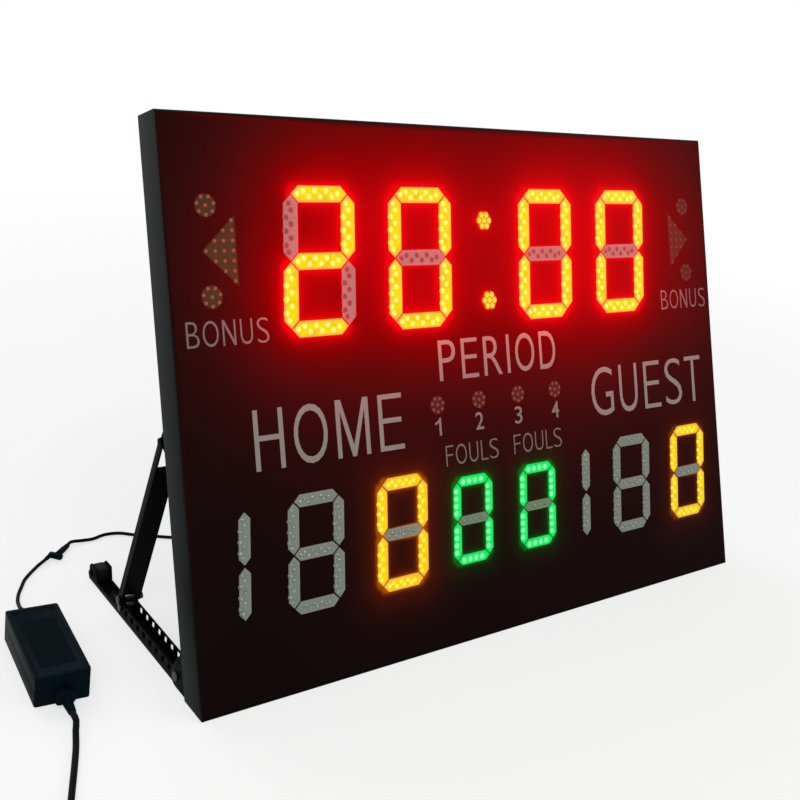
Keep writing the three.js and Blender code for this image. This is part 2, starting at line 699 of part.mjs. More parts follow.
function addFoot(side, end) {
  const low = stripThickness + seat;
  const corners = [[pivotY - footHalf, low], [pivotY + footHalf, low]];
  const ear = bandRound([...circleRound(pivotCentre, footRadius), ...corners]);
  const body = join(
    depthSheet(side, ear, footOuter, footOuter + stripThickness),
    depthSheet(side, ear, footInner - stripThickness, footInner),
    depthBlock(side, [footOuter + stripThickness / 2, footInner - stripThickness / 2],
      [pivotY - footHalf, pivotY + footHalf], [low, low + stripThickness]),
  );
  const through = [footOuter - overrun, footInner + overrun];
  place(standGroup, `foot_bracket_${end}`, cut(body, [
    depthBar(side, pivotBoltRadius + holeSlack, ...through, pivotCentre),
    depthBar(side, clampRadius + holeSlack, ...through, clampCentre),
  ]), blackSteel);
  const outer = railInset - seat;
  const inner = railInner + seat;
  place(standGroup, `foot_clamp_bolt_${end}`, join(
    depthBar(side, clampRadius, outer - clampHeadThickness / 2, inner + clampHeadThickness / 2, clampCentre),
    depthBar(side, clampHead, outer - clampHeadThickness, outer, clampCentre),
    depthBar(side, clampHead, inner, inner + clampHeadThickness, clampCentre, 6),
  ), steel);
  const headAt = strutOuter - seat;
  const nutAt = strutInner + seat;
  place(standGroup, `foot_pivot_bolt_${end}`, join(
    depthBar(side, pivotBoltRadius, headAt - pivotHeadThickness / 2, nutAt + nutThickness / 2, pivotCentre),
    depthBar(side, pivotBoltHead, headAt - pivotHeadThickness, headAt, pivotCentre),
    depthBar(side, pivotBoltHead, nutAt, nutAt + nutThickness, pivotCentre, 6),
  ), steel);
}

// Struts: channels open at the back, turning on the foot bolts; studs at the top reach for the shoes
const strutGroup = new THREE.Group();
strutGroup.position.set(0, pivotY, pivotHeight);
strutGroup.rotation.x = strutAngle;
standGroup.add(strutGroup);
const webFrom = 10;
const webShort = 30;
const studRadius = 2.5;
const studHead = 4.2;
const shoeHalfWidth = railWidth / 2;

function addStrut(side, end) {
  const cheek = bandRound([...circleRound([0, 0], strutDepth / 2), ...circleRound([0, strutLength], strutDepth / 2)]);
  const stud = (from, to, head, headEnd) => [
    depthBar(side, studRadius, from, to, [0, strutLength], 10),
    depthBar(side, studHead, head, headEnd, [0, strutLength], 10),
  ];
  const shoeOuter = standMiddle - shoeHalfWidth;
  const shoeInner = standMiddle + shoeHalfWidth;
  const body = join(
    depthSheet(side, cheek, strutOuter, strutOuter + stripThickness),
    depthSheet(side, cheek, strutInner - stripThickness, strutInner),
    depthBlock(side, [strutOuter + stripThickness / 2, strutInner - stripThickness / 2],
      [-strutDepth / 2, -strutDepth / 2 + stripThickness], [webFrom, strutLength - webShort]),
    ...stud(strutOuter, shoeOuter - seat, strutOuter - headThickness, strutOuter + stripThickness / 2),
    ...stud(shoeInner + seat, strutInner, strutInner - stripThickness / 2, strutInner + headThickness),
  );
  const hole = depthBar(side, pivotBoltRadius + holeSlack, strutOuter - overrun, strutInner + overrun, [0, 0]);
  place(strutGroup, `strut_${end}`, cut(body, [hole]), blackSteel);
}

// Slotted tracks up the case's back, and the shoes that are clamped to them
const trackWidth = 16;
const trackSheet = 2.5;
const trackRaise = 3;
const tabLength = 13;
const trackBelow = 34;
const trackBeyond = 34;
const slotWidth = 5;
const slotBelow = 9;
const trackScrewHead = 4;
const trackScrewHeight = 2;
const shoeHalfLength = 14;
const shoeRadius = 5;
const shoeBoltRadius = 2.2;
const shoeBoltHead = 5;
const shoeBoltHeadThickness = 3;
const shoeNut = 4;

const behind = (n) => caseDepth + n;
const upBack = (s) => backRise + s;
const trackBack = seat + trackRaise;
const trackFace = trackBack + trackSheet;
const shoeSeat = trackFace + seat;

function addTrack(side, end) {
  const [low, high] = [topAlong - trackBelow, foldedAlong + trackBeyond];
  const outline = [
    [seat, low], [seat, low + tabLength], [trackBack, low + tabLength],
    [trackBack, high - tabLength], [seat, high - tabLength], [seat, high],
    [seat + trackSheet, high], [seat + trackSheet, high - tabLength + trackSheet],
    [trackFace, high - tabLength + trackSheet], [trackFace, low + tabLength - trackSheet],
    [seat + trackSheet, low + tabLength - trackSheet], [seat + trackSheet, low],
  ].map(([n, s]) => [behind(n), upBack(s)]);
  const middle = atDepth(side, standMiddle);
  const strip = depthSheet(side, outline, standMiddle - trackWidth / 2, standMiddle + trackWidth / 2);
  const screwAt = (s) => bar("y", trackScrewHead, behind(seat + trackSheet / 2),
    behind(seat + trackSheet + trackScrewHeight), [middle, upBack(s)], 10);
  const screwEdge = (tabLength - trackSheet) / 2;
  const slot = depthBlock(side, [standMiddle - slotWidth / 2, standMiddle + slotWidth / 2],
    [behind(-overrun), behind(trackFace + overrun)], [upBack(topAlong - slotBelow), upBack(foldedAlong + slotBelow)]);
  place(caseGroup, `strut_track_${end}`,
    cut(join(strip, screwAt(low + screwEdge), screwAt(high - screwEdge)), [slot]), blackSteel);
}

function addShoe(side, end) {
  const centre = [behind(topOut), upBack(topAlong)];
  const base = [behind(shoeSeat), behind(shoeSeat + stripThickness)];
  const [low, high] = [upBack(topAlong - shoeHalfLength), upBack(topAlong + shoeHalfLength)];
  const ear = bandRound([...circleRound(centre, shoeRadius), [base[0], low], [base[0], high]]);
  const outer = standMiddle - shoeHalfWidth;
  const inner = standMiddle + shoeHalfWidth;
  const body = join(
    depthSheet(side, ear, outer, outer + stripThickness),
    depthSheet(side, ear, inner - stripThickness, inner),
    depthBlock(side, [outer + stripThickness / 2, inner - stripThickness / 2], base, [low, high]),
  );
  const spot = [atDepth(side, standMiddle), upBack(topAlong)];
  place(caseGroup, `shoe_${end}`, cut(body, [
    depthBar(side, studRadius + holeSlack, outer - overrun, inner + overrun, centre, 10),
    bar("y", shoeBoltRadius + holeSlack, base[0] - overrun, base[1] + overrun, spot),
  ]), blackSteel);
  const headAt = base[1] + seat;
  place(caseGroup, `shoe_bolt_${end}`, join(
    bar("y", shoeBoltRadius, behind(trackBack - seat - trackSheet / 2), headAt + shoeBoltHeadThickness / 2, spot),
    bar("y", shoeBoltHead, headAt, headAt + shoeBoltHeadThickness, spot, 6),
    bar("y", shoeNut, behind(trackBack - seat - trackSheet), behind(trackBack - seat), spot, 6),
  ), steel);
}

// Mains adapter on the floor: two open shells, a strain relief for its lead, and the mains connector
const adapterLength = 122;
const adapterWidth = 52;
const adapterHeight = 31;
const adapterSplit = 17;
const adapterWall = 2;
const adapterCorner = 2.5;
const adapterTurn = -5.45;
const adapterSpot = [-490.8, 144.8];
const labelInset = 5;
const labelDepth = 0.6;
const reliefLength = 15;
const reliefRoot = 3.8;
const reliefTip = 2.8;
const reliefZ = 12.5;
const connectorWidth = 20;
const connectorLow = 4;
const connectorHigh = 18;
const connectorLength = 12;
const mainsRelief = 20;
const mainsReliefRoot = 5.2;
const mainsReliefTip = 3.6;

const adapterGroup = new THREE.Group();
adapterGroup.position.set(adapterSpot[0], adapterSpot[1], 0);
adapterGroup.rotation.z = THREE.MathUtils.degToRad(adapterTurn);
powerGroup.add(adapterGroup);

function roundedSlab(width, length, corner, low, high) {
  const [x, y] = [width / 2 - corner, length / 2 - corner];
  const outline = [
    ...arc([x, y], corner, 0, 90, 3), ...arc([-x, y], corner, 90, 180, 3),
    ...arc([-x, -y], corner, 180, 270, 3), ...arc([x, -y], corner, 270, 360, 3),
  ];
  const shape = new THREE.Shape(outline.map(([across, along]) => new THREE.Vector2(across, along)));
  return new THREE.ExtrudeGeometry(shape, { depth: high - low, bevelEnabled: false }).translate(0, 0, low);
}

function addAdapter() {
  const outer = [adapterWidth, adapterLength, adapterCorner];
  const inner = [adapterWidth - 2 * adapterWall, adapterLength - 2 * adapterWall, adapterCorner - adapterWall];
  const end = adapterLength / 2;
  const relief = turned([
    [0, end - adapterWall / 2], [reliefRoot, end - adapterWall / 2], [reliefRoot, end + adapterWall],
    [reliefTip, end + reliefLength], [0, end + reliefLength],
  ], 0, reliefZ, 10);
  const base = cut(join(roundedSlab(...outer, 0, adapterSplit - seat), relief),
    [roundedSlab(...inner, adapterWall, adapterSplit + overrun)]);
  place(adapterGroup, "adapter_base_shell", base, blackPlastic);
  const lid = cut(roundedSlab(...outer, adapterSplit, adapterHeight), [
    roundedSlab(...inner, adapterSplit - overrun, adapterHeight - adapterWall),
    roundedSlab(adapterWidth - 2 * labelInset, adapterLength - 2 * labelInset, adapterCorner,
      adapterHeight - labelDepth, adapterHeight + overrun),
  ]);
  place(adapterGroup, "adapter_top_shell", lid, blackPlastic);
  const face = -end - seat;
  const middle = (connectorLow + connectorHigh) / 2;
  const neck = turned([
    [0, face - connectorLength - mainsRelief], [mainsReliefTip, face - connectorLength - mainsRelief],
    [mainsReliefRoot, face - connectorLength], [mainsReliefRoot, face - connectorLength / 2], [0, face - connectorLength / 2],
  ], 0, middle, 10);
  place(adapterGroup, "mains_connector", join(
    block([-connectorWidth / 2, connectorWidth / 2], [face - connectorLength, face], [connectorLow, connectorHigh]), neck,
  ), blackPlastic);
}

// Cords: a plain tube with square ends through hand-chosen points
const leadDiameter = 4;
const mainsDiameter = 6;
const leadStep = 10;

function tubeAlong(curve, diameter, sides, steps) {
  const ring = [];
  for (let i = 0; i < sides; i++) {
    const angle = (i / sides) * 2 * Math.PI;
    ring.push(new THREE.Vector2(Math.cos(angle), Math.sin(angle)).multiplyScalar(diameter / 2));
  }
  return new THREE.ExtrudeGeometry(new THREE.Shape(ring), { steps, extrudePath: curve });
}

function leadThrough(points, diameter) {
  const curve = new THREE.CatmullRomCurve3(points.map(([x, y, z]) => new THREE.Vector3(x, y, z)), false, "centripetal");
  return tubeAlong(curve, diameter, 8, Math.round(curve.getLength() / leadStep));
}

// Spots in the adapter's own frame, and on the case's back, as points of the power group
function beyondAdapter(along, z) {
  return adapterGroup.localToWorld(new THREE.Vector3(0, along, z)).toArray();
}

const glandMouth = (out) => [
  glandX,
  (glandTip + out) * leanCos + glandZ * leanSin,
  glandZ * leanCos - (glandTip + out) * leanSin,
];

// Inline socket and right-angle plug, lying on the floor behind the left rail
const jackRadius = 4.25;
const jackLength = 24;
const jackMouth = [-406, 343];
const jackHeading = 222;
const jackRelief = 9;
const jackReliefTip = 2.7;
const plugWidth = 9;
const plugLength = 18;
const plugRelief = 6;
const plugReliefRadius = 3;
const plugReliefSide = 6;

const jackGroup = new THREE.Group();
jackGroup.position.set(jackMouth[0], jackMouth[1], jackRadius);
jackGroup.rotation.z = THREE.MathUtils.degToRad(jackHeading);
powerGroup.add(jackGroup);
powerGroup.updateMatrixWorld(true);

const besideJack = (x, y) => jackGroup.localToWorld(new THREE.Vector3(x, y, 0)).toArray();
const grounded = (point) => powerGroup.worldToLocal(new THREE.Vector3(...point)).toArray();

function addLowVoltageLead() {
  const plugEnd = seat + plugWidth + plugRelief;
  place(jackGroup, "dc_jack", turned([
    [0, -jackLength], [jackReliefTip, -jackLength], [jackRadius, jackRelief - jackLength], [jackRadius, 0], [0, 0],
  ], 0, 0, 12).rotateZ(-Math.PI / 2), blackPlastic);
  place(jackGroup, "dc_plug", join(
    block([seat, seat + plugWidth], [-plugLength / 2, plugLength / 2], [-jackRadius, plugWidth - jackRadius]),
    bar("x", plugReliefRadius, seat + plugWidth / 2, plugEnd, [-plugReliefSide, 0], 10),
  ), blackPlastic);
  const radius = leadDiameter / 2;
  place(powerGroup, "dc_lead", leadThrough([
    glandMouth(seat), glandMouth(leadDiameter * 2),
    [-96, 90, 27], [-98, 106, 15], [-101, 122, 6], [-105, 140, radius], [-117, 170, radius], [-137, 210, radius],
    [-165, 260, radius], [-190, 288, radius], [-215, 310, radius], [-240, 324, radius], [-265, 334.5, radius],
    [-285, 346, radius], [-305, 357.5, radius], [-320, 368, radius], [-337, 371, radius], [-355, 366, radius],
    [-369, 366, 2.6],
    grounded(besideJack(-jackLength - leadDiameter * 2, 0)),
    grounded(besideJack(-jackLength - seat, 0)),
  ], leadDiameter), cordBlack);
  place(powerGroup, "adapter_lead", leadThrough([
    grounded(besideJack(plugEnd + seat, -plugReliefSide)),
    grounded(besideJack(plugEnd + leadDiameter, -plugReliefSide)),
    [-434, 328.6, 2.6], [-440.5, 323, radius], [-448.5, 315, radius],
    [-457.5, 304.5, radius], [-465.3, 291.5, radius], [-472.5, 279, radius], [-477.8, 265.8, 2.4],
    [-481, 252, 5], [-483.3, 240, 9],
    grounded(beyondAdapter(adapterLength / 2 + reliefLength + leadDiameter * 2, reliefZ - seat)),
    grounded(beyondAdapter(adapterLength / 2 + reliefLength + seat, reliefZ)),
  ], leadDiameter), cordBlack);
}

// Mains lead: a free stretch, then a coil of loops that spiral in and out again in two layers
const coilMiddleDiameter = 66;
const coilTurns = 6;
const coilPitch = 7;
const coilLayer = 6.9;
const coilStart = [-567.7, -112.8];
const coilHeading = 246.4;
const coilStepsPerTurn = 24;
const tailRun = 24;
const tailDrop = 26;
const plugHalfHeight = 7;
const mainsPlugLength = 34;
const mainsPlugWidth = 22;
const pinLength = 18;
const pinThickness = 1.6;
const pinWidth = 6.4;
const pinSpread = 12.7;

class MainsCoil extends THREE.Curve {
  constructor() {
    super();
    this.turning = coilTurns * Math.PI * coilMiddleDiameter;
    this.whole = mainsDiameter + this.turning + tailRun + tailDrop + mainsDiameter;
  }

  // Distances are along the tube, from the end that meets the free stretch
  getPoint(share, target = new THREE.Vector3()) {
    const along = share * this.whole;
    const innermost = coilMiddleDiameter / 2 - coilPitch * coilTurns / 4;
    const outermost = innermost + coilPitch * coilTurns / 2;
    const turns = THREE.MathUtils.clamp((along - mainsDiameter) / this.turning, 0, 1) * coilTurns;
    const straight = Math.min(along - mainsDiameter, 0) + Math.max(along - mainsDiameter - this.turning, 0);
    const radius = innermost + coilPitch * Math.abs(turns - coilTurns / 2);
    const angle = -turns * 2 * Math.PI;
    const climb = THREE.MathUtils.smoothstep(turns, coilTurns / 2 - 0.25, coilTurns / 2 + 0.25);
    const drop = THREE.MathUtils.smoothstep(straight, tailRun, tailRun + tailDrop);
    const top = mainsDiameter / 2 + coilLayer;
    const z = mainsDiameter / 2 + coilLayer * climb - (top - plugHalfHeight) * drop;
    return target.set(straight + radius * -Math.sin(angle), radius * Math.cos(angle) - outermost, z);
  }
}

const coilGroup = new THREE.Group();
coilGroup.position.set(coilStart[0], coilStart[1], 0);
coilGroup.rotation.z = THREE.MathUtils.degToRad(coilHeading);
powerGroup.add(coilGroup);
powerGroup.updateMatrixWorld(true);
const besideCoil = (x) => grounded(coilGroup.localToWorld(new THREE.Vector3(x, 0, mainsDiameter / 2)).toArray());

function leastSelfGap(curve, diameter) {
  const count = coilTurns * coilStepsPerTurn * 2;
  const points = curve.getSpacedPoints(count);
  const apart = Math.ceil(count / coilTurns / 2);
  let least = Infinity;
  points.forEach((point, i) => points.slice(i + apart).forEach((other) => {
    least = Math.min(least, point.distanceTo(other) - diameter);
  }));
  return least;
}

function addMainsLead() {
  const radius = mainsDiameter / 2;
  const connectorEnd = -adapterLength / 2 - seat - connectorLength - mainsRelief;
  const connectorZ = (connectorLow + connectorHigh) / 2;
  place(powerGroup, "mains_lead", leadThrough([
    grounded(beyondAdapter(connectorEnd - seat, connectorZ)),
    grounded(beyondAdapter(connectorEnd - 2 * mainsDiameter, connectorZ - seat)),
    [-504, 32, 6.5], [-509, 18, radius], [-518, -3, radius], [-533.2, -36.2, radius], [-545, -62, radius],
    besideCoil(-mainsDiameter * 4), besideCoil(-mainsDiameter - seat),
  ], mainsDiameter), cordBlack);
  const coil = new MainsCoil();
  const steps = Math.round(coilTurns * coilStepsPerTurn * coil.whole / coil.turning);
  place(coilGroup, "mains_coil", tubeAlong(coil, mainsDiameter, 6, steps), cordBlack);
  console.log(`mains_coil: least gap to itself ${leastSelfGap(coil, mainsDiameter).toFixed(2)} mm`);
  const end = coil.getPoint(1);
  const face = end.x + seat + mainsRelief;
  const relief = turned([
    [0, end.x + seat], [mainsReliefTip, end.x + seat], [mainsReliefRoot, face], [mainsReliefRoot, face + overrun],
    [0, face + overrun],
  ], 0, plugHalfHeight, 10).rotateZ(-Math.PI / 2);
  const pins = [1, -1].map((side) => block([face + mainsPlugLength - overrun, face + mainsPlugLength + pinLength],
    [side * pinSpread / 2 - pinThickness / 2, side * pinSpread / 2 + pinThickness / 2],
    [plugHalfHeight - pinWidth / 2, plugHalfHeight + pinWidth / 2]));
  place(coilGroup, "mains_plug", join(
    block([face, face + mainsPlugLength], [-mainsPlugWidth / 2, mainsPlugWidth / 2], [0, 2 * plugHalfHeight]),
    relief, ...pins,
  ), blackPlastic);
}

addCase();
addRearCover();
addDisplay();
addLedBoards();
addController();
addGland();
for (const [end, side] of [["left", -1], ["right", 1]]) {
  addHinge(side, end);
  addRail(side, end);
  addFoot(side, end);
  addStrut(side, end);
  addTrack(side, end);
  addShoe(side, end);
}
addAdapter();
addLowVoltageLead();
addMainsLead();

export default scoreboard;
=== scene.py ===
import json
import math

import bmesh
import bpy
import numpy as np
from mathutils import Matrix, Vector
from mathutils.geometry import delaunay_2d_cdt

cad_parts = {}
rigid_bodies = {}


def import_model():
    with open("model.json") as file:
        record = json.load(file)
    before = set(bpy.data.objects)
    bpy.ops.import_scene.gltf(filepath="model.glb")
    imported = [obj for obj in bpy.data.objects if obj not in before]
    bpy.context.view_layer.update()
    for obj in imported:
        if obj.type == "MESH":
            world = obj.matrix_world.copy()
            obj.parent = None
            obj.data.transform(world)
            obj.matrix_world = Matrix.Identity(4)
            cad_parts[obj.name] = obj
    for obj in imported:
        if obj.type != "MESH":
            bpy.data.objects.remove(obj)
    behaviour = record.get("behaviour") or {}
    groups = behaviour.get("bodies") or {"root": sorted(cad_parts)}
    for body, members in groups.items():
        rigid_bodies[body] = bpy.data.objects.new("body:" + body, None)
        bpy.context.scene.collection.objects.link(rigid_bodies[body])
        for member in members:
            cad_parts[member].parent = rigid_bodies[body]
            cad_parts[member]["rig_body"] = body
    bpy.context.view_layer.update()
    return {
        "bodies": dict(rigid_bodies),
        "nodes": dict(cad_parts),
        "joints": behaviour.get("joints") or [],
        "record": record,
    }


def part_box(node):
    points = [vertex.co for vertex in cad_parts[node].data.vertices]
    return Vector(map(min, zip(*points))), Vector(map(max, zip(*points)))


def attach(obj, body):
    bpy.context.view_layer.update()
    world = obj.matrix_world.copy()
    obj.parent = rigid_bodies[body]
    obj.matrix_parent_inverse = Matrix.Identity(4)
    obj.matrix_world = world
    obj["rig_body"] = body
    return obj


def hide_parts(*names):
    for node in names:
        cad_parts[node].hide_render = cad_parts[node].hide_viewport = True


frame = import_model()
scene = bpy.context.scene
MM = 0.001

# Camera: held low at the left of the board and tipped a little, as in the photograph.
# Its place is measured from the lower left corner of the face, its focal length in pixels of the frame.
face_corner = Vector(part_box("case_frame")[0])
camera_from_corner = Vector((-449.1, -767.9, 666.2)) * MM
camera_heading = math.radians(38.99)
camera_dip = math.radians(17.58)
camera_roll = math.radians(8.23)
focal_pixels = 1112.0
frame_pixels = 800
centre_raised_pixels = 47.3
sensor_width = 36.0

camera = bpy.data.objects.new("camera", bpy.data.cameras.new("camera"))
scene.collection.objects.link(camera)
scene.camera = camera
camera.data.sensor_width = sensor_width
camera.data.lens = focal_pixels / frame_pixels * sensor_width
camera.data.shift_y = -centre_raised_pixels / frame_pixels
looking = Vector((
    math.sin(camera_heading) * math.cos(camera_dip),
    math.cos(camera_heading) * math.cos(camera_dip),
    -math.sin(camera_dip),
))
turn = looking.to_track_quat("-Z", "Y").to_matrix().to_4x4() @ Matrix.Rotation(camera_roll, 4, "Z")
camera.matrix_world = Matrix.Translation(face_corner + camera_from_corner) @ turn

# Studio: a pale floor that keeps the object's shadow, a white surround and soft light from above.
# Floor and surround are white where they are seen straight, in gloss or through glass.
floor_size = 30.0
floor_drop = 0.2 * MM
floor_greys = (0.86, 0.86, 0.86), (0.88, 0.88, 0.88)
near_white, white_from, white_over = 0.62, 0.9, 1.6
surround_light = 0.55
lamp_aim = Vector((0, 0, 0.2))
lamps = (
    ("key_lamp", (-1.6, -2.2, 2.6), 2.4, 52.0),
    ("fill_lamp", (2.4, -1.6, 1.8), 2.0, 18.0),
    ("back_lamp", (-0.6, 2.6, 2.4), 2.2, 30.0),
)


class Wire:
    """A value on its way through shader nodes; sums and products of wires add Math nodes."""

    def __init__(self, shading, socket):
        self.shading, self.socket = shading, socket

    def maths(self, operation, other):
        return self.shading.node("ShaderNodeMath", {"operation": operation}, self, other)

    def __add__(self, other):
        return self.maths("ADD", other)

    def __mul__(self, other):
        return self.maths("MULTIPLY", other)

    def over(self, limit, softness):
        """0 below the limit and 1 above it, rising over the given softness."""
        return self.shading.node(
            "ShaderNodeMapRange", {"interpolation_type": "SMOOTHSTEP"}, self, limit, limit + softness)

    __radd__ = __add__
    __rmul__ = __mul__


class Shading:
    """The nodes of a material or of the world, with the shader that they feed."""

    def __init__(self, holder, shader, **constants):
        holder.use_nodes = True
        self.tree = holder.node_tree
        self.shader = self.tree.nodes[shader]
        for name, value in constants.items():
            self.shader.inputs[name.replace("_", " ")].default_value = value

    def node(self, kind, settings, *values, output=0):
        """One output of a new node, made with its settings and its sockets' values or wires."""
        made = self.tree.nodes.new(kind)
        for name, value in settings.items():
            setattr(made, name, value)
        for socket, value in zip([s for s in made.inputs if s.enabled], values):
            if isinstance(value, Wire):
                self.tree.links.new(value.socket, socket)
            elif value is not None:
                socket.default_value = value
        return Wire(self, [s for s in made.outputs if s.enabled][output])

    def feed(self, **wires):
        for name, wire in wires.items():
            self.tree.links.new(wire.socket, self.shader.inputs[name.replace("_", " ")])

    def background_ray(self):
        """1 for the rays that see the background: straight, in gloss and through glass."""
        straight, glossy, through = (self.node("ShaderNodeLightPath", {}, output=i) for i in (0, 3, 6))
        return straight.maths("MAXIMUM", glossy.maths("MAXIMUM", through))


class Finish(Shading):
    """A material with one Principled shader, its patterns in metres on the object's own coordinates."""

    def __init__(self, name, **constants):
        self.material = bpy.data.materials.new(name)
        super().__init__(self.material, "Principled BSDF", **constants)
        self.place = self.node("ShaderNodeTexCoord", {}, output=3)

    def noise(self, scale, detail=4.0, roughness=0.55):
        return self.node("ShaderNodeTexNoise", {}, self.place, scale, detail, roughness)

    def mix(self, amount, first, second):
        colours = [(*c, 1) if isinstance(c, tuple) else c for c in (first, second)]
        return self.node("ShaderNodeMix", {"data_type": "RGBA"}, amount, *colours)

    def attribute(self, name, output=2):
        return self.node("ShaderNodeAttribute", {"attribute_name": name}, output=output)

    def bump(self, height, depth):
        self.feed(Normal=self.node("ShaderNodeBump", {}, 1.0, depth, None, height))


floor_finish = Finish("floor_paint", Roughness=0.9, Specular_IOR_Level=0.0)
floor_finish.feed(Base_Color=floor_finish.mix(floor_finish.noise(2.0), *floor_greys))
floor_reach = floor_finish.node("ShaderNodeVectorMath", {"operation": "LENGTH"}, floor_finish.place)
white_share = near_white + (1 - near_white) * floor_reach.over(white_from, white_over)
lit_floor = Wire(floor_finish, floor_finish.shader.outputs[0])
white_floor = floor_finish.node("ShaderNodeEmission", {}, (1, 1, 1, 1), 1.0)
seen_floor = floor_finish.node(
    "ShaderNodeMixShader", {}, floor_finish.background_ray() * white_share, lit_floor, white_floor)
floor_finish.tree.links.new(seen_floor.socket, floor_finish.tree.nodes["Material Output"].inputs["Surface"])

half = floor_size / 2
floor_mesh = bpy.data.meshes.new("floor")
floor_mesh.from_pydata(
    [(x, y, -floor_drop) for x, y in ((-half, -half), (half, -half), (half, half), (-half, half))],
    [], [(0, 1, 2, 3)])
floor_mesh.materials.append(floor_finish.material)
floor = bpy.data.objects.new("floor", floor_mesh)
scene.collection.objects.link(floor)

for name, place, size, power in lamps:
    lamp = bpy.data.lights.new(name, "AREA")
    lamp.energy, lamp.size = power, size
    holder = bpy.data.objects.new(name, lamp)
    aimed = (lamp_aim - Vector(place)).to_track_quat("-Z", "Y").to_matrix().to_4x4()
    holder.matrix_world = Matrix.Translation(place) @ aimed
    scene.collection.objects.link(holder)

scene.world = bpy.data.worlds.new("surround")
surround = Shading(scene.world, "Background", Color=(1, 1, 1, 1))
surround.feed(Strength=(1 - surround_light) * surround.background_ray() + surround_light)
scene.view_settings.view_transform = "Standard"

# Leads: black round cords, moulded PVC with a soft satin skin.
# The thin one runs from the gland to an inline socket, the next from a plug to the adapter,
# and the mains lead ends in a coil beyond the near edge of the photograph.
lean = math.radians(20.0)
lead_diameter = 4 * MM
mains_diameter = 6 * MM
route_step = 4 * MM
gland_x, gland_height, gland_tip = -95 * MM, 60 * MM, 50 * MM
coil_middle, coil_turns, coil_pitch, coil_layer, coil_step = 66.0, 6, 7.0, 6.9, 3.0
coil_rest, straight_end, tail_run, tail_drop, plug_half_height = 3.0, 6.0, 24.0, 26.0, 7.0
layer_change = 0.25


def on_case(x, depth, height):
    """A point of the leaning case: depth behind its face, height up its face, in metres."""
    return Vector((
        x,
        face_corner.y + depth * math.cos(lean) + height * math.sin(lean),
        height * math.cos(lean) - depth * math.sin(lean),
    ))


def floor_frame(x, y, z, heading):
    """A frame standing on the floor, its place in millimetres from the case's front foot."""
    place = Vector((x * MM, y * MM + face_corner.y, z * MM))
    return Matrix.Translation(place) @ Matrix.Rotation(math.radians(heading), 4, "Z")


def placed(frame, *points):
    """Points of a frame, in millimetres, brought out of it in metres."""
    return [frame @ (Vector(point) * MM) for point in points]


def eased(points):
    """A smooth route through given points, each stretch paced by the root of its length."""
    points = [Vector(p) for p in points]
    ends = [2 * points[0] - points[1], *points, 2 * points[-1] - points[-2]]
    route = []
    for before, start, end, after in zip(ends, ends[1:], ends[2:], ends[3:]):
        runs = (before, start), (start, end), (end, after)
        first, pace, last = (math.sqrt((b - a).length) for a, b in runs)
        run = (end - start) / pace
        leave = ((start - before) / first - (end - before) / (first + pace) + run) * pace
        arrive = (run - (after - start) / (pace + last) + (after - end) / last) * pace
        count = max(2, round((end - start).length / route_step))
        for t in (i / count for i in range(count)):
            route.append(
                start * (2 * t ** 3 - 3 * t ** 2 + 1) + leave * (t ** 3 - 2 * t ** 2 + t)
                + end * (3 * t ** 2 - 2 * t ** 3) + arrive * (t ** 3 - t ** 2))
    return [*route, points[-1]]


def smooth(value, low, high):
    """0 up to the low value, 1 from the high one, and a soft rise between them."""
    t = min(max((value - low) / (high - low), 0), 1)
    return t * t * (3 - 2 * t)


def coil_points():
    """The coil's loops: in towards the middle on the lower layer and out again on the upper."""
    turning = coil_turns * math.pi * coil_middle
    whole = straight_end + turning + tail_run + tail_drop + straight_end
    inner = coil_middle / 2 - coil_pitch * coil_turns / 4
    outer = inner + coil_pitch * coil_turns / 2
    top = coil_rest + coil_layer
    points = []
    for along in np.linspace(0, whole, round(whole / coil_step)):
        turns = min(max((along - straight_end) / turning, 0), 1) * coil_turns
        straight = min(along - straight_end, 0) + max(along - straight_end - turning, 0)
        radius = inner + coil_pitch * abs(turns - coil_turns / 2)
        angle = 2 * math.pi * turns
        climb = smooth(turns, coil_turns / 2 - layer_change, coil_turns / 2 + layer_change)
        drop = smooth(straight, tail_run, tail_run + tail_drop)
        z = coil_rest + coil_layer * climb - (top - plug_half_height) * drop
        points.append((straight + radius * math.sin(angle), radius * math.cos(angle) - outer, z))
    return points


on_floor = floor_frame(0, 0, 0, 0)
socket_frame = floor_frame(-406, 343, 4.25, 222)
adapter_frame = floor_frame(-490.8, 144.8, 0, -5.45)
coil_frame = floor_frame(-567.7, -112.8, 0, 246.4)
dc_route = eased([
    on_case(gland_x, gland_tip + 0.3 * MM, gland_height),
    on_case(gland_x, gland_tip + 8 * MM, gland_height),
    *placed(on_floor, (-96, 90, 27), (-98, 106, 15), (-101, 122, 6), (-105, 140, 2), (-117, 170, 2),
            (-137, 210, 2), (-165, 260, 2), (-190, 288, 2), (-215, 310, 2), (-240, 324, 2),
            (-265, 334.5, 2), (-285, 346, 2), (-305, 357.5, 2), (-320, 368, 2), (-337, 371, 2),
            (-355, 366, 2), (-369, 366, 2.6)),
    *placed(socket_frame, (-32, 0, 0), (-24.3, 0, 0)),
])
adapter_route = eased([
    *placed(socket_frame, (15.6, -6, 0), (19.3, -6, 0)),
    *placed(on_floor, (-434, 328.6, 2.6), (-440.5, 323, 2), (-448.5, 315, 2), (-457.5, 304.5, 2),
            (-465.3, 291.5, 2), (-472.5, 279, 2), (-477.8, 265.8, 2.4), (-481, 252, 5), (-483.3, 240, 9)),
    *placed(adapter_frame, (0, 84, 12.2), (0, 76.3, 12.5)),
])[::-1]
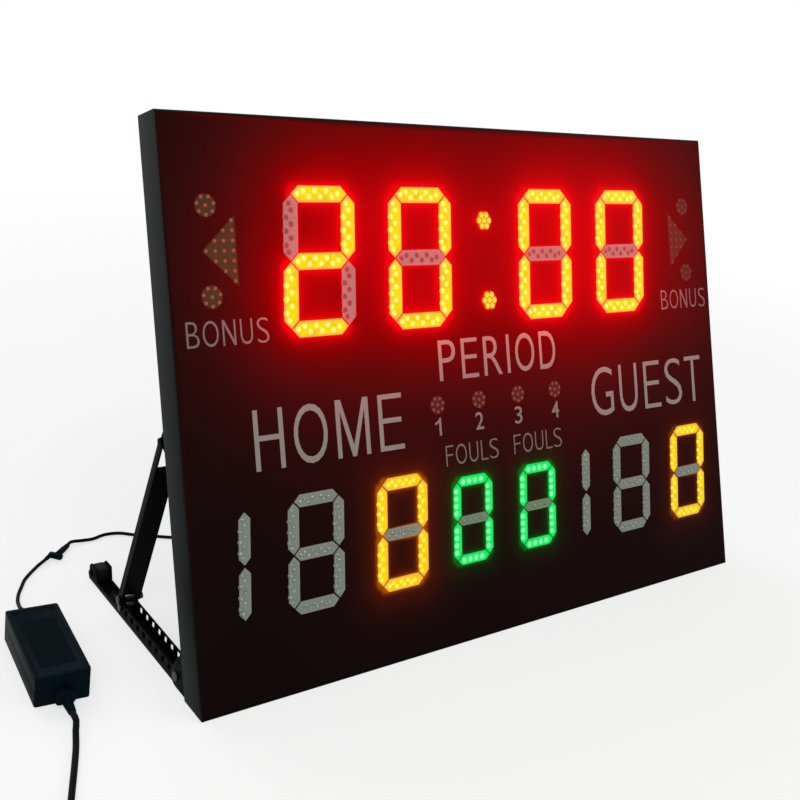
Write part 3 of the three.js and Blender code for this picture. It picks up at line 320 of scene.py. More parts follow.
mains_route = [
    *eased([
        *placed(adapter_frame, (0, -93.6, 11), (0, -105.3, 10.7)),
        *placed(on_floor, (-504, 32, 6.5), (-509, 18, 3), (-518, -3, 3), (-533.2, -36.2, 3), (-545, -62, 3)),
        *placed(coil_frame, (-24, 0, 3), (-6.3, 0, 3)),
    ]),
    *placed(coil_frame, *coil_points()),
]


def coated(name, colours, cloud, grain, gloss, relief=0.0, **constants):
    """A coat of two close colours in soft clouds, with a fine grain in its roughness and relief.

    Cloud and grain are a noise's scale and detail; gloss is the grain's share and the least roughness.
    """
    made = Finish(name, **constants)
    grains = made.noise(*grain)
    made.feed(Base_Color=made.mix(made.noise(*cloud), *colours), Roughness=grains * gloss[0] + gloss[1])
    if relief:
        made.bump(grains, relief)
    return made


def add_piece(name, shape, finish, body="board", stands_for=()):
    """The finished piece in the scene: the body it rides on and the solids it stands for."""
    piece = bpy.data.objects.new(name, shape)
    scene.collection.objects.link(piece)
    shape.materials.clear()
    shape.materials.append(finish.material)
    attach(piece, body)
    if stands_for:
        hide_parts(*stands_for)
    return piece


def lay_cord(name, route, diameter, solids):
    """A round cord along its route."""
    line = bpy.data.curves.new(name, "CURVE")
    line.dimensions = "3D"
    line.bevel_depth = diameter / 2
    line.bevel_resolution = 4
    line.use_fill_caps = True
    spline = line.splines.new("POLY")
    spline.points.add(len(route) - 1)
    for point, place in zip(spline.points, route):
        point.co = (*place, 1)
    piece = add_piece(name, line, cord_finish, stands_for=solids)
    length = sum((b - a).length for a, b in zip(route, route[1:]))


cord_finish = coated(
    "cord_sheath", ((0.0020, 0.0023, 0.0027), (0.0042, 0.0046, 0.0052)), (35.0,), (900.0,), (0.2, 0.4),
    0.05 * MM, Specular_IOR_Level=0.03)

# Cord ends: black moulded plugs and sockets with ribbed strain reliefs, moulded on to the leads.
# The inline socket and its right-angle plug lie on the floor; the mains plug lies beside its coil.
# The teal cast in the black plastic's colours is a painted reflection of bluish light.
plastic_finish = coated(
    "black_moulded_plastic", ((0.0012, 0.0040, 0.0054), (0.0024, 0.0076, 0.0104)), (30.0,), (1600.0, 2.0),
    (0.18, 0.34), 0.03 * MM, Specular_IOR_Level=0.012)
steel_finish = coated(
    "zinc_plated_steel", ((0.20, 0.21, 0.22), (0.12, 0.125, 0.13)), (90.0,), (600.0, 3.0),
    (0.2, 0.28), 0.02 * MM, Metallic=1.0)

# In millimetres: a profile has distances and radii, a block two corners and its rounding,
# and a relief its start and end, the radii there and its number of ribs.
crisp_from = 38
socket_sag = 0.7
socket_relief = (-15, -24, 3.45, 2.75, 4)
socket_profile = (
    (-14.6, 3.55), (-3.2, 3.55), (-3.0, 3.25), (-2.6, 3.25), (-2.4, 3.55), (-0.5, 3.55), (0, 3.2), (0, 2.6),
    (-0.8, 2.5))
angle_block = (0.3, -9, -3.9), (7.1, 7.6, 2.5), 1.9
angle_relief, angle_relief_aside = (6.8, 15.3, 2.5, 2.4, 4), -6
angle_grips, angle_grip_top = (-3.4, -1.7, 0, 1.7, 3.4), 2.75
inlet_reach, inlet_height = -61.3, 11
inlet_block = (0, -9, -6.5), (11.9, 9, 6.5), 3.0
inlet_collar, inlet_relief = ((11.4, 6.0), (12.4, 5.9)), (12.8, 32, 5.2, 3.7, 6)
inlet_grips = (-3.6, -1.2, 1.2, 3.6)
mains_block = (76.3, -11, -7), (110.3, 11, 7), 3.2
mains_relief = (77.5, 56.5, 5.2, 3.7, 6)
mains_grips, mains_grip_width = (84, 88, 92, 96), 1.6
blade_start, blade_end, blade_aside, blade_half, blade_width, blade_round = 108, 128.2, 6.35, 0.8, 3.2, 0.7
groove_depth, relief_lip, relief_lip_share = 0.55, 0.35, 0.02
rib_shares = ((0.25, 0), (0.32, groove_depth), (0.55, groove_depth), (0.62, 0))


def skinned(work, rings):
    """Faces from each ring of vertices to the next, closed at both ends."""
    for low, high in zip(rings, rings[1:]):
        for i in range(len(low)):
            j = (i + 1) % len(low)
            work.faces.new((low[i], low[j], high[j], high[i]))
    work.faces.new(rings[0][::-1])
    work.faces.new(rings[-1])


def turned(work, frame, profile, sides=24):
    """A turned body along X of a frame: each step of the profile is a distance and a radius."""
    angles = [2 * math.pi * (i + 0.5) / sides for i in range(sides)]
    skinned(work, [
        [work.verts.new(spot) for spot in placed(
            frame, *[(along, radius * math.cos(a), radius * math.sin(a)) for a in angles])]
        for along, radius in profile
    ])


def rounded_block(work, frame, low, high, radius, segments=3):
    """A block between two corners of a frame with all its edges rounded."""
    made = bmesh.ops.create_cube(work, size=1.0)["verts"]
    middle = (Vector(low) + Vector(high)) / 2
    size = Vector(high) - Vector(low)
    for vert in made:
        vert.co = placed(frame, [middle[i] + vert.co[i] * size[i] for i in range(3)])[0]
    work.normal_update()
    edges = list({edge for vert in made for edge in vert.link_edges})
    bmesh.ops.bevel(work, geom=edges, offset=radius * MM, segments=segments, profile=0.5, affect="EDGES")


def ribbed(start, end, from_radius, to_radius, ribs):
    """Profile of a tapering strain relief with grooves between its ribs."""
    profile = [(start, from_radius)]
    pitch = (end - start) / ribs
    for i in range(ribs):
        for share, groove in rib_shares:
            along = start + pitch * (i + share)
            radius = from_radius + (to_radius - from_radius) * (along - start) / (end - start)
            profile.append((along, radius - groove))
    return [*profile, (end - (end - start) * relief_lip_share, to_radius), (end, to_radius - relief_lip)]


def smoothed(work, name, crisp=crisp_from):
    """The finished mesh: smooth, but crisp where its faces meet at more than an angle in degrees."""
    for face in work.faces:
        face.smooth = True
    mesh = bpy.data.meshes.new(name)
    work.to_mesh(mesh)
    work.free()
    mesh.set_sharp_from_angle(angle=math.radians(crisp))
    return mesh


def built(name, build, crisp=crisp_from):
    """The mesh that the given mesh code builds, with its faces turned outwards."""
    work = bmesh.new()
    build(work)
    bmesh.ops.recalc_face_normals(work, faces=work.faces)
    return smoothed(work, name, crisp)


def inline_socket(work):
    lowered = socket_frame @ Matrix.Translation(Vector((0, 0, -socket_sag)) * MM)
    turned(work, lowered, [*ribbed(*socket_relief)[::-1], *socket_profile])


def angle_plug(work):
    rounded_block(work, socket_frame, *angle_block)
    for aside in angle_grips:
        rounded_block(work, socket_frame, (1.9, 0.6 + aside, 2.3), (5.5, 1.4 + aside, angle_grip_top), 0.2, 1)
    relief = socket_frame @ Matrix.Translation(Vector((0, angle_relief_aside, 0)) * MM)
    turned(work, relief, ribbed(*angle_relief))


def mains_socket(work):
    inlet = Matrix.Translation(Vector((0, inlet_reach, inlet_height)) * MM)
    outwards = adapter_frame @ inlet @ Matrix.Rotation(-math.pi / 2, 4, "Z")
    rounded_block(work, outwards, *inlet_block)
    for rise in inlet_grips:
        for side in (-9.2, 8.7):
            rounded_block(work, outwards, (3.0, side, rise - 0.5), (10.4, side + 0.5, rise + 0.5), 0.2, 1)
    turned(work, outwards, [*inlet_collar, *ribbed(*inlet_relief)])


plug_frame = coil_frame @ Matrix.Translation(Vector((0, 0, plug_half_height)) * MM)


def mains_plug(work):
    rounded_block(work, plug_frame, *mains_block)
    for start in mains_grips:
        for side in (-11.3, 10.7):
            rounded_block(
                work, plug_frame, (start, side, -4), (start + mains_grip_width, side + 0.6, 4), 0.25, 1)
    turned(work, plug_frame, ribbed(*mains_relief)[::-1])


def plug_blades(work):
    for middle in (blade_aside, -blade_aside):
        low = (blade_start, middle - blade_half, -blade_width)
        high = (blade_end, middle + blade_half, blade_width)
        rounded_block(work, plug_frame, low, high, blade_round, 2)


socket_piece, plug_piece, _, mains_plug_piece, blades = (
    add_piece(name, built(name, build), finish, stands_for=solids)
    for name, build, finish, slot, solids in (
        ("inline_socket", inline_socket, plastic_finish, "black_plastic", ["dc_jack"]),
        ("angle_plug", angle_plug, plastic_finish, "black_plastic", ["dc_plug"]),
        ("mains_socket", mains_socket, plastic_finish, "black_plastic", ["mains_connector"]),
        ("mains_plug_body", mains_plug, plastic_finish, "black_plastic", ["mains_plug"]),
        ("mains_plug_blades", plug_blades, steel_finish, "bolt_steel", []))
)
lay_cord("dc_lead_cord", dc_route, lead_diameter, ["dc_lead"])
lay_cord("adapter_lead_cord", adapter_route, lead_diameter, ["adapter_lead"])
lay_cord("mains_cord", mains_route, mains_diameter, ["mains_lead", "mains_coil"])

# Case frame: sheet steel folded into one ring, its edges and corners slightly rounded, powder coated
# charcoal. Lips turn inwards behind the panel and under the rear cover to carry them.
half_width = 395 * MM
board_height = 573 * MM
case_depth = 34 * MM
sheet = 1.5 * MM
seat = 0.3 * MM
edge_round = 0.9 * MM
edge_angles = (0, 0.52, 1.05, 1.57)
corner_round = 1.4 * MM
least_round = 0.02 * MM
lip_reach = 12.75 * MM
lip_sheet = 1.2 * MM
panel_sheet = 3 * MM
cover_sheet = 1.5 * MM
bottom_slope = math.tan(lean)
# Painted shade: the coat goes from the first, near black colour at the bottom of the case to its own charcoal
# higher up; heights in metres.
painted_shade_coat, out_of_shade_coat = (0.0030, 0.0034, 0.0036), (0.0200, 0.0235, 0.0225)
shade_lift_from, shade_lift_over = 0.04, 0.5

paint_finish = Finish("charcoal_powder_coat", Specular_IOR_Level=0.027)
paint_grain = paint_finish.noise(1400.0, detail=2.0)
paint_height = paint_finish.node("ShaderNodeSeparateXYZ", {}, paint_finish.place, output=2)
# Darker towards the bottom by height, as painted shade, with a fifth of random cloud in the tone.
out_of_shade_share = paint_height.over(shade_lift_from, shade_lift_over) * 0.8 + paint_finish.noise(7.0) * 0.2
paint_finish.feed(
    Base_Color=paint_finish.mix(out_of_shade_share, painted_shade_coat, out_of_shade_coat), Roughness=paint_grain * 0.16 + 0.38)
paint_finish.bump(paint_grain, 0.06 * MM)


def ring_at(inset, depth):
    """Rounded corners of the ring at an inset from the outside and a depth behind the face."""
    radius = max(corner_round - inset, least_round)
    low, high = depth * bottom_slope + inset, board_height - inset
    side = half_width - inset
    points = []
    for sign_x, sign_z, first in ((1, 1, 0), (-1, 1, 90), (-1, -1, 180), (1, -1, 270)):
        for angle in (math.radians(first + turn) for turn in (0, 30, 60, 90)):
            x = sign_x * (side - radius) + radius * math.cos(angle)
            z = (high - radius if sign_z > 0 else low + radius) + radius * math.sin(angle)
            points.append(on_case(x, depth, z))
    return points


def swept_ring(work):
    """A closed skin: each point of the profile, an inset and a depth, makes one rounded rectangle."""
    rings = [[work.verts.new(corner) for corner in ring_at(inset, depth)] for inset, depth in case_profile]
    for low, high in zip(rings, [*rings[1:], rings[0]]):
        for i in range(len(low)):
            j = (i + 1) % len(low)
            work.faces.new((low[i], low[j], high[j], high[i]))


soft_edge = [(edge_round * (1 - math.sin(a)), edge_round * (1 - math.cos(a))) for a in edge_angles]
panel_rear = panel_sheet + seat
rear_lip = case_depth - cover_sheet - seat
case_profile = [
    *soft_edge,
    *[(inset, case_depth - depth) for inset, depth in soft_edge[::-1]],
    (sheet, case_depth), (sheet, rear_lip), (lip_reach, rear_lip), (lip_reach, rear_lip - lip_sheet),
    (sheet, rear_lip - lip_sheet), (sheet, panel_rear + lip_sheet), (lip_reach, panel_rear + lip_sheet),
    (lip_reach, panel_rear), (sheet, panel_rear), (sheet, 0),
]
add_piece("case_frame_folded", built("case_frame_folded", swept_ring), paint_finish,
          stands_for=["case_frame"])

# Front panel: dark smoked acrylic, cut out for every lens bar and lamp.
# The light of the digits spreads in it, red round the clock, amber and green round the scores.
clock = {"height": 152.4, "width": 86.0, "stroke": 16.6, "light": "red"}
score = {"height": 119.0, "width": 67.0, "stroke": 12.8, "light": "amber"}
foul = {"height": 97.0, "width": 57.0, "stroke": 10.5, "light": "green"}
clock_row, score_row, foul_row = 428.0, 136.5, 134.4
score_pitch = 109.5
slant = 0.0716
mitre_gap = 1.6
window_gap = 0.3
colon_height, colon_spread, colon_radius = 422.3, 90.5, 11.0
period_centres = (-86.4, -26.6, 33.2, 93.0)
period_height, period_radius = 266.4, 10.2
bonus_column, bonus_height, bonus_spread, bonus_radius = 349.5, 440.4, 87.0, 11.5
arrow_base, arrow_tip, arrow_half = 319.0, 357.0, 35.0
lamp_kinds = ("clock_colon", "period_lamps", "bonus_lamps_left", "bonus_lamps_right")
bar_ends = {
    "a": ((-1, 1), (1, 1)), "b": ((1, 1), (1, 0)), "c": ((1, 0), (1, -1)), "d": ((-1, -1), (1, -1)),
    "e": ((-1, 0), (-1, -1)), "f": ((-1, 1), (-1, 0)), "g": ((-1, 0), (1, 0)),
}
all_bars, one_bars, zero_bars = "abcdefg", "bc", "abcdef"
digits = [
    *[(f"clock_{name}", clock, x, clock_row, all_bars, lit) for name, x, lit in (
        ("tens_of_minutes", -224.3, "abdeg"), ("minutes", -94.3, zero_bars),
        ("tens_of_seconds", 94.3, zero_bars), ("seconds", 224.3, zero_bars))],
    *[(f"{side}_{name}", score, first + place * score_pitch, score_row, bars, lit)
      for side, first in (("home", -364.0), ("guest", 108.0))
      for place, (name, bars, lit) in enumerate((
          ("hundreds", one_bars, ""), ("tens", all_bars, ""), ("units", all_bars, zero_bars)))],
    *[(f"{side}_fouls", foul, x, foul_row, all_bars, zero_bars)
      for side, x in (("home", -46.0), ("guest", 54.0))],
]


def bar_line(digit, letter):
    """The two ends of a bar's centre line, from the middle of its digit, before the slant."""
    reach = np.array([digit["width"] - digit["stroke"], digit["height"] - digit["stroke"]]) / 2
    return [np.array(end) * reach for end in bar_ends[letter]]


def slanted(points, x, z):
    return [(x + across + slant * up, z + up) for across, up in points]


def bar_outline(digit, letter, grow):
    """The six corners of a bar, mitred at both ends and grown on all sides."""
    start, end = bar_line(digit, letter)
    along = (end - start) / np.linalg.norm(end - start)
    across = np.array([-along[1], along[0]])
    half_stroke = digit["stroke"] / 2 + grow
    tip = (mitre_gap / 2 - grow) * math.sqrt(2)
    start, end = start + tip * along, end - tip * along
    return [
        start, start + half_stroke * (along - across), end - half_stroke * (along + across),
        end, end - half_stroke * (along - across), start + half_stroke * (along + across),
    ]


def circle(x, z, radius, sides=28):
    angles = (2 * math.pi * i / sides for i in range(sides))
    return [(x + radius * math.cos(angle), z + radius * math.sin(angle)) for angle in angles]


def arrow(side, grow):
    """The arrow of one bonus sign, pointing outwards, grown on all sides."""
    slope = arrow_half / (arrow_tip - arrow_base)
    spare = grow * (slope + math.sqrt(1 + slope * slope))
    points = [
        (side * (arrow_base - grow), bonus_height - arrow_half - spare),
        (side * (arrow_tip + spare / slope), bonus_height),
        (side * (arrow_base - grow), bonus_height + arrow_half + spare),
    ]
    return points if side > 0 else points[::-1]


def lamps_at(kind, grow):
    """Outlines of one kind of lamp."""
    if kind == "clock_colon":
        return [circle(0, colon_height + s * colon_spread / 2, colon_radius + grow) for s in (1, -1)]
    if kind == "period_lamps":
        return [circle(x, period_height, period_radius + grow) for x in period_centres]
    side = -1 if kind.endswith("left") else 1
    rounds = [(side * bonus_column, bonus_height + s * bonus_spread / 2) for s in (1, -1)]
    return [*[circle(x, z, bonus_radius + grow) for x, z in rounds], arrow(side, grow)]


# The light in the sheet: lengths in millimetres, columns from the middle, levels as shares of full light.
# Each lit bar is a line that ends short of the bar's tips, and each dot of the colon is a very short one.
bar_core, lit_half = 0.4, 0.9
dot_run, dot_core, dot_weight = 0.01, 0.6, 0.8
stretches_of_bar, stretch_length = 5, 50.0
veil_reach, veil_fade, veil_gain, veil_level = 8.0, 0.627, 0.5, 0.43
far_reach, far_level = 75.6, 0.0086
below_falls, right_widens = 1.42, 0.16
veil_columns = (-395, -340, -300, 150, 270, 300, 350)
veil_shares = (1.0, 1.15, 1.42, 1.4, 1.1, 1.1, 1.4)
halo_shift = 1.4
red_tint = (1.0, 0.0, 0.003)
halos = {
    "red": ((0.15, 10.6, 1.9, red_tint), (0.46, 3.6, 1.6, red_tint)),
    "amber": ((0.30, 2.0, 1.5, (1.0, 0.22, 0.0)), (0.075, 14.0, 1.0, (1.0, 0.07, 0.0))),
    "green": ((0.11, 1.8, 1.5, (0.0, 1.0, 0.04)), (0.02, 9.0, 1.0, (0.0, 1.0, 0.05))),
}
red_by_green = (0.5, 9.0, 1.5)
amber_columns, amber_shares = (0, 300), (1, 0.45)

lit_lines = {"red": [], "amber": [], "green": []}
for name, digit, x, z, bars, lit in digits:
    for letter in lit:
        start, end = np.array(slanted(bar_line(digit, letter), x, z))
        spare = (end - start) * bar_core * digit["stroke"] / np.linalg.norm(end - start)
        lit_lines[digit["light"]].append((*(start + spare), *(end - spare), digit["stroke"] / 2))
for sign in (1, -1):
    z = colon_height + sign * colon_spread / 2
    lit_lines["red"].append((0, z, dot_run, z, colon_radius * dot_core))


def nearest(points, lines):
    """Distance, in millimetres, from each point of the face to the nearest lit bar."""
    best = np.full(len(points), np.inf)
    for x0, z0, x1, z1, half_stroke in lines:
        start, run = np.array([x0, z0]), np.array([x1 - x0, z1 - z0])
        t = np.clip(((points - start) @ run) / (run @ run), 0, 1)
        gap = np.linalg.norm(points - start - t[:, None] * run, axis=1) - half_stroke * lit_half
        best = np.minimum(best, gap)
    return np.maximum(best, 0)


def veil_at(points):
    """Red light that has spread through the sheet from every stretch of the lit clock bars."""
    close, far = np.zeros(len(points)), np.zeros(len(points))
    reach = 1 + right_widens * points[:, 0] * MM / half_width
    for x0, z0, x1, z1, half_stroke in lit_lines["red"]:
        run = math.hypot(x1 - x0, z1 - z0)
        is_dot = run < 2 * dot_run
        stretches = 1 if is_dot else stretches_of_bar
        weight = dot_weight if is_dot else run / stretch_length
        for i in range(stretches):
            t = (i + 0.5) / stretches
            across, up = points[:, 0] - (x0 + (x1 - x0) * t), points[:, 1] - (z0 + (z1 - z0) * t)
            gap = np.hypot(across, np.where(up < 0, up * below_falls, up)) / reach
            close += weight * np.exp(-(gap / veil_reach) ** veil_fade)
            far += weight * np.exp(-gap / far_reach)
    share = np.interp(points[:, 0], veil_columns, veil_shares)
    return share * (veil_level * (1 - np.exp(-veil_gain * close)) + far_level * far)


def fading(gap, level, reach, power):
    """Light of a level at a lit bar that fades over a reach."""
    return level * np.exp(-(gap / reach) ** power)


def glow_at(points):
    """Colour of the light that reaches each point of the face from the lit digits."""
    aside = points + (halo_shift, 0)
    gaps = {light: nearest(aside, lines) for light, lines in lit_lines.items()}
    shares = {
        "red": 1 - fading(gaps["green"], *red_by_green),
        "amber": np.interp(points[:, 0], amber_columns, amber_shares),
        "green": 1,
    }
    colour = np.outer(shares["red"] * veil_at(points), red_tint)
    for light, rows in halos.items():
        for *fade, tint in rows:
            colour += np.outer(shares[light] * fading(gaps[light], *fade), tint)
    return colour


def on_face(place):
    """Column and height, in millimetres, of a place on the leaning case."""
    y = place.y - face_corner.y
    return place.x / MM, (place.z * math.cos(lean) + y * math.sin(lean)) / MM


def paint_glow(mesh, points=None):
    """The glow of each vertex's place on the face, kept on the mesh as a colour."""
    points = np.array([on_face(v.co) for v in mesh.vertices]) if points is None else points
    colours = np.ones((len(points), 4), dtype=np.float32)
    colours[:, :3] = np.clip(glow_at(points), 0, 1)
    layer = mesh.color_attributes.new("glow", "FLOAT_COLOR", "POINT")
    layer.data.foreach_set("color", colours.ravel())


def rectangle(left, low, right, high):
    return [(left, low), (right, low), (right, high), (left, high)]


def fitted(rear):
    """The outline of a flat sheet that fits inside the ring, down to the depth of its rear."""
    side, high = (half_width - sheet - seat) / MM, (board_height - sheet - seat) / MM
    return rectangle(-side, (rear * bottom_slope + sheet + seat) / MM, side, high)


def within(loop, points):
    """Which of the points lie inside a convex loop."""
    following = np.roll(loop, -1, axis=0)
    turn = np.sign(np.sum(loop[:, 0] * following[:, 1] - following[:, 0] * loop[:, 1]))
    inside = np.ones(len(points), dtype=bool)
    for (x0, z0), (x1, z1) in zip(loop, following):
        inside &= ((x1 - x0) * (points[:, 1] - z0) - (z1 - z0) * (points[:, 0] - x0)) * turn > 0
    return inside


def pierced_sheet(name, outline, holes, front, rear, spare_points=()):
    """A flat sheet with holes, and its points; spare points split it into a finer net."""
    spots, edges = [], []
    for loop in (outline, *holes):
        first = len(spots)
        spots += [Vector(p) for p in loop]
        edges += [(first + i, first + (i + 1) % len(loop)) for i in range(len(loop))]
    spots += [Vector(p) for p in spare_points]
    flat, _, tris, *_ = delaunay_2d_cdt(spots, edges, [], 0, 1e-4)
    flat, tris = np.array([tuple(p) for p in flat]), np.array(tris, dtype=int)
    middles = flat[tris].mean(axis=1)
    keep = np.ones(len(tris), dtype=bool)
    for loop in map(np.array, holes):
        near = np.all(np.abs(middles - loop.mean(axis=0)) < np.ptp(loop, axis=0), axis=1)
        near = np.flatnonzero(keep & near)
        keep[near[within(loop, middles[near])]] = False
    walls = {}
    for a, b, c in tris[keep]:
        for start, end in ((a, b), (b, c), (c, a)):
            if walls.pop((end, start), None) is None:
                walls[start, end] = True
    count = len(flat)
    faces = [tuple(t) for t in tris[keep]] + [tuple(t[::-1] + count) for t in tris[keep]]
    faces += [(b, a, a + count, b + count) for a, b in walls]
    mesh = bpy.data.meshes.new(name)
    mesh.from_pydata([on_case(x * MM, depth, z * MM) for depth in (front, rear) for x, z in flat], [], faces)
    return mesh, flat


net_pitch, net_edge = 6.0, 4
net_loops = ((1.6, 10), (4.5, 9), (8.0, 8), (12.0, 7))
windows = [
    slanted(bar_outline(digit, letter, window_gap), x, z)
    for name, digit, x, z, bars, lit in digits for letter in bars
] + [lamp for kind in lamp_kinds for lamp in lamps_at(kind, window_gap)]
panel_outline = fitted(panel_sheet)
(left, low), _, (right, high), _ = panel_outline
net = [
    (x, z)
    for x in np.arange(left + net_edge, right - net_edge / 2, net_pitch)
    for z in np.arange(low + net_edge, high - net_edge / 2, net_pitch)
]
for name, digit, x, z, bars, lit in digits:
    for letter in lit:
        for grow, parts in net_loops:
            loop = np.array(slanted(bar_outline(digit, letter, grow), x, z))
            for start, end in zip(loop, np.roll(loop, -1, axis=0)):
                net += [tuple(start + (end - start) * i / parts) for i in range(parts)]
panel_mesh, panel_points = pierced_sheet("front_panel", panel_outline, windows, 0, panel_sheet, net)
paint_glow(panel_mesh, np.vstack([panel_points, panel_points]))

black = (0.0, 0.0, 0.0)
panel_darks = (0.0046, 0.0024, 0.0022), (0.0080, 0.0034, 0.0034)
panel_finish = Finish("smoked_acrylic", Specular_IOR_Level=0.006, Emission_Strength=1.0)
panel_glowing = panel_finish.attribute("glow").over(0.0, 0.1)
panel_tint = panel_finish.mix(panel_finish.noise(4.0, detail=3.0), *panel_darks)
panel_finish.feed(
    Base_Color=panel_finish.mix(panel_glowing, panel_tint, black),
    Emission_Color=panel_finish.attribute("glow", output=0),
    Roughness=panel_finish.noise(60.0, detail=6.0) * 0.12 + 0.28,
)
add_piece("front_panel_acrylic", panel_mesh, panel_finish, stands_for=["front_panel"])

# Digits: milky lens bars with chamfered edges on a thin back plate, one moulding for each digit.
# A lit bar shines through to its edges, an unlit one is greyish and gives off a share of the panel's glow as
# painted light.
lens_proud = 0.8 * MM
plate_margin = 3.0
plate_sheet = 1.5 * MM
lens_rear = panel_rear + plate_sheet / 2
chamfer, chamfer_start = 0.45, 0.35
edge_band = 2.4


def shrunk(loop, inset):
    """The loop drawn in by an inset, for a convex outline."""
    loop = np.array(loop)
    middle = loop.mean(axis=0)
    result = []
    for before, point, after in zip(np.roll(loop, 1, axis=0), loop, np.roll(loop, -1, axis=0)):
        runs = [run / np.linalg.norm(run) for run in (point - before, after - point)]
        normals = [np.array([-run[1], run[0]]) for run in runs]
        normals = [n if n @ (middle - point) > 0 else -n for n in normals]
        bisector = normals[0] + normals[1]
        result.append(point + bisector * inset / (bisector @ normals[0]))
    return np.array(result)


def lens_bar(loop, lit, verts, faces, shine, rim):
    """One moulded bar: straight side, small chamfer, then a flat face whose edge is marked as rim."""
    if sum(a[0] * b[1] - b[0] * a[1] for a, b in zip(loop, [*loop[1:], loop[0]])) < 0:
        loop = loop[::-1]
    layers = (
        (loop, lens_rear, 1), (loop, -chamfer_start * lens_proud, 1), (shrunk(loop, chamfer), -lens_proud, 1),
        (shrunk(loop, edge_band), -lens_proud, 0),
    )
    first, around = len(verts), len(loop)
    for outline, depth, edge in layers:
        verts += [on_case(x * MM, depth, z * MM) for x, z in outline]
        shine += [lit] * around
        rim += [edge] * around
    for low in range(first, first + (len(layers) - 1) * around, around):
        high = low + around
        faces += [(low + j, low + (j + 1) % around, high + (j + 1) % around, high + j) for j in range(around)]
    faces.append(tuple(range(first, first + around))[::-1])
    faces.append(tuple(range(len(verts) - around, len(verts))))


def back_plate(corners, verts, faces, shine, rim):
    """The thin plate that joins the bars of one moulding."""
    first = len(verts)
    for depth in (panel_rear, panel_rear + plate_sheet):
        verts += [on_case(x * MM, depth, z * MM) for x, z in corners]
    faces += [(first, first + 1, first + 2, first + 3), (first + 7, first + 6, first + 5, first + 4)]
    faces += [(first + i, first + 4 + i, first + 4 + (i + 1) % 4, first + (i + 1) % 4) for i in range(4)]
    shine += [0.0] * 8
    rim += [0.0] * 8


def keep_values(mesh, **values):
    """One number for each vertex, kept on the mesh under its name."""
    for label, numbers in values.items():
        layer = mesh.attributes.new(label, "FLOAT", "POINT")
        layer.data.foreach_set("value", np.array(numbers, dtype=np.float32))


def moulding(node, loops, lit, corners, finish, slot):
    """The lens moulding that stands for a node, each of its loops lit or not."""
    name = f"{node}_moulding"
    verts, faces, shine, rim = [], [], [], []
    for loop, on in zip(loops, lit):
        lens_bar(loop, float(on), verts, faces, shine, rim)
    back_plate(corners, verts, faces, shine, rim)
    mesh = bpy.data.meshes.new(name)
    mesh.from_pydata(verts, [], faces)
    keep_values(mesh, shine=shine, rim=rim)
    paint_glow(mesh)
    add_piece(name, mesh, finish, stands_for=[node])


def lens_finish(name, off, on, edge=None, glow_share=0.28, glint=None):
    """Milky plastic: dull where its bar is off, and bright with a warmer fringe where it is on.

    Off has the colours of the plastic, its clouds and the diodes in it; on has those of the light,
    its blotches, its fringe and the diodes. The crowns of the diodes show with a soft edge.
    """
    dull, dull_cloud, speck = off
    bright, blotch, fringe, spot = on
    made = Finish(name, Specular_IOR_Level=0.03, Emission_Strength=1.0)
    shine, rim, crown = (made.attribute(label) for label in ("shine", "rim", "crown"))
    cloud = made.noise(95.0, detail=3.0)
    grain = made.noise(700.0, detail=2.0)
    resting = made.mix(rim * 0.8, made.mix(cloud, dull, dull_cloud), edge or dull)
    resting = made.mix(crown * (grain * 0.6 + 0.6), resting, speck)
    if glint:
        resting = made.mix(crown.over(0.7, 0.3) * grain.over(0.46, 0.1), resting, glint)
    glowing = made.mix(cloud.over(0.42, 0.3), bright, blotch)
    glowing = made.mix(rim * (cloud * 0.5 + 0.6), glowing, fringe)
    glowing = made.mix(crown, glowing, spot)
    # Painted light: an unlit bar gives off a share of the glow painted on the panel.
    taken = made.mix(glow_share, black, made.attribute("glow", output=0))
    made.feed(
        Base_Color=made.mix(shine, resting, black),
        Emission_Color=made.mix(shine, taken, glowing),
        Roughness=grain * 0.2 + 0.4,
    )
    return made


clock_lens = lens_finish(
    "clock_lens", ((0.41, 0.185, 0.175), (0.34, 0.135, 0.135), (0.32, 0.04, 0.045)),
    ((0.98, 0.72, 0.004), (0.90, 0.54, 0.006), (0.92, 0.34, 0.10), (1.0, 1.0, 0.20)))
score_lens = lens_finish(
    "score_lens", ((0.205, 0.222, 0.188), (0.162, 0.185, 0.150), (0.125, 0.165, 0.125)),
    ((1.0, 0.66, 0.002), (0.94, 0.54, 0.004), (0.86, 0.42, 0.06), (1.0, 0.97, 0.10)),
    glint=(0.36, 0.43, 0.37))
foul_lens = lens_finish(
    "foul_lens", ((0.175, 0.205, 0.15), (0.14, 0.17, 0.12), (0.12, 0.17, 0.11)),
    ((0.004, 0.93, 0.125), (0.004, 0.80, 0.105), (0.008, 0.70, 0.13), (0.34, 1.0, 0.54)),
    glint=(0.24, 0.30, 0.22))
lens_of = {
    "red": (clock_lens, "clock_lens"), "amber": (score_lens, "score_lens"), "green": (foul_lens, "foul_lens")}

for name, digit, x, z, bars, lit in digits:
    left = digit["width"] / 2 - digit["stroke"] if bars == one_bars else -digit["width"] / 2
    right, reach = digit["width"] / 2 + plate_margin, digit["height"] / 2 + plate_margin
    corners = slanted(rectangle(left - plate_margin, -reach, right, reach), x, z)
    loops = [slanted(bar_outline(digit, letter, 0), x, z) for letter in bars]
    moulding(name, loops, [letter in lit for letter in bars], corners, *lens_of[digit["light"]])

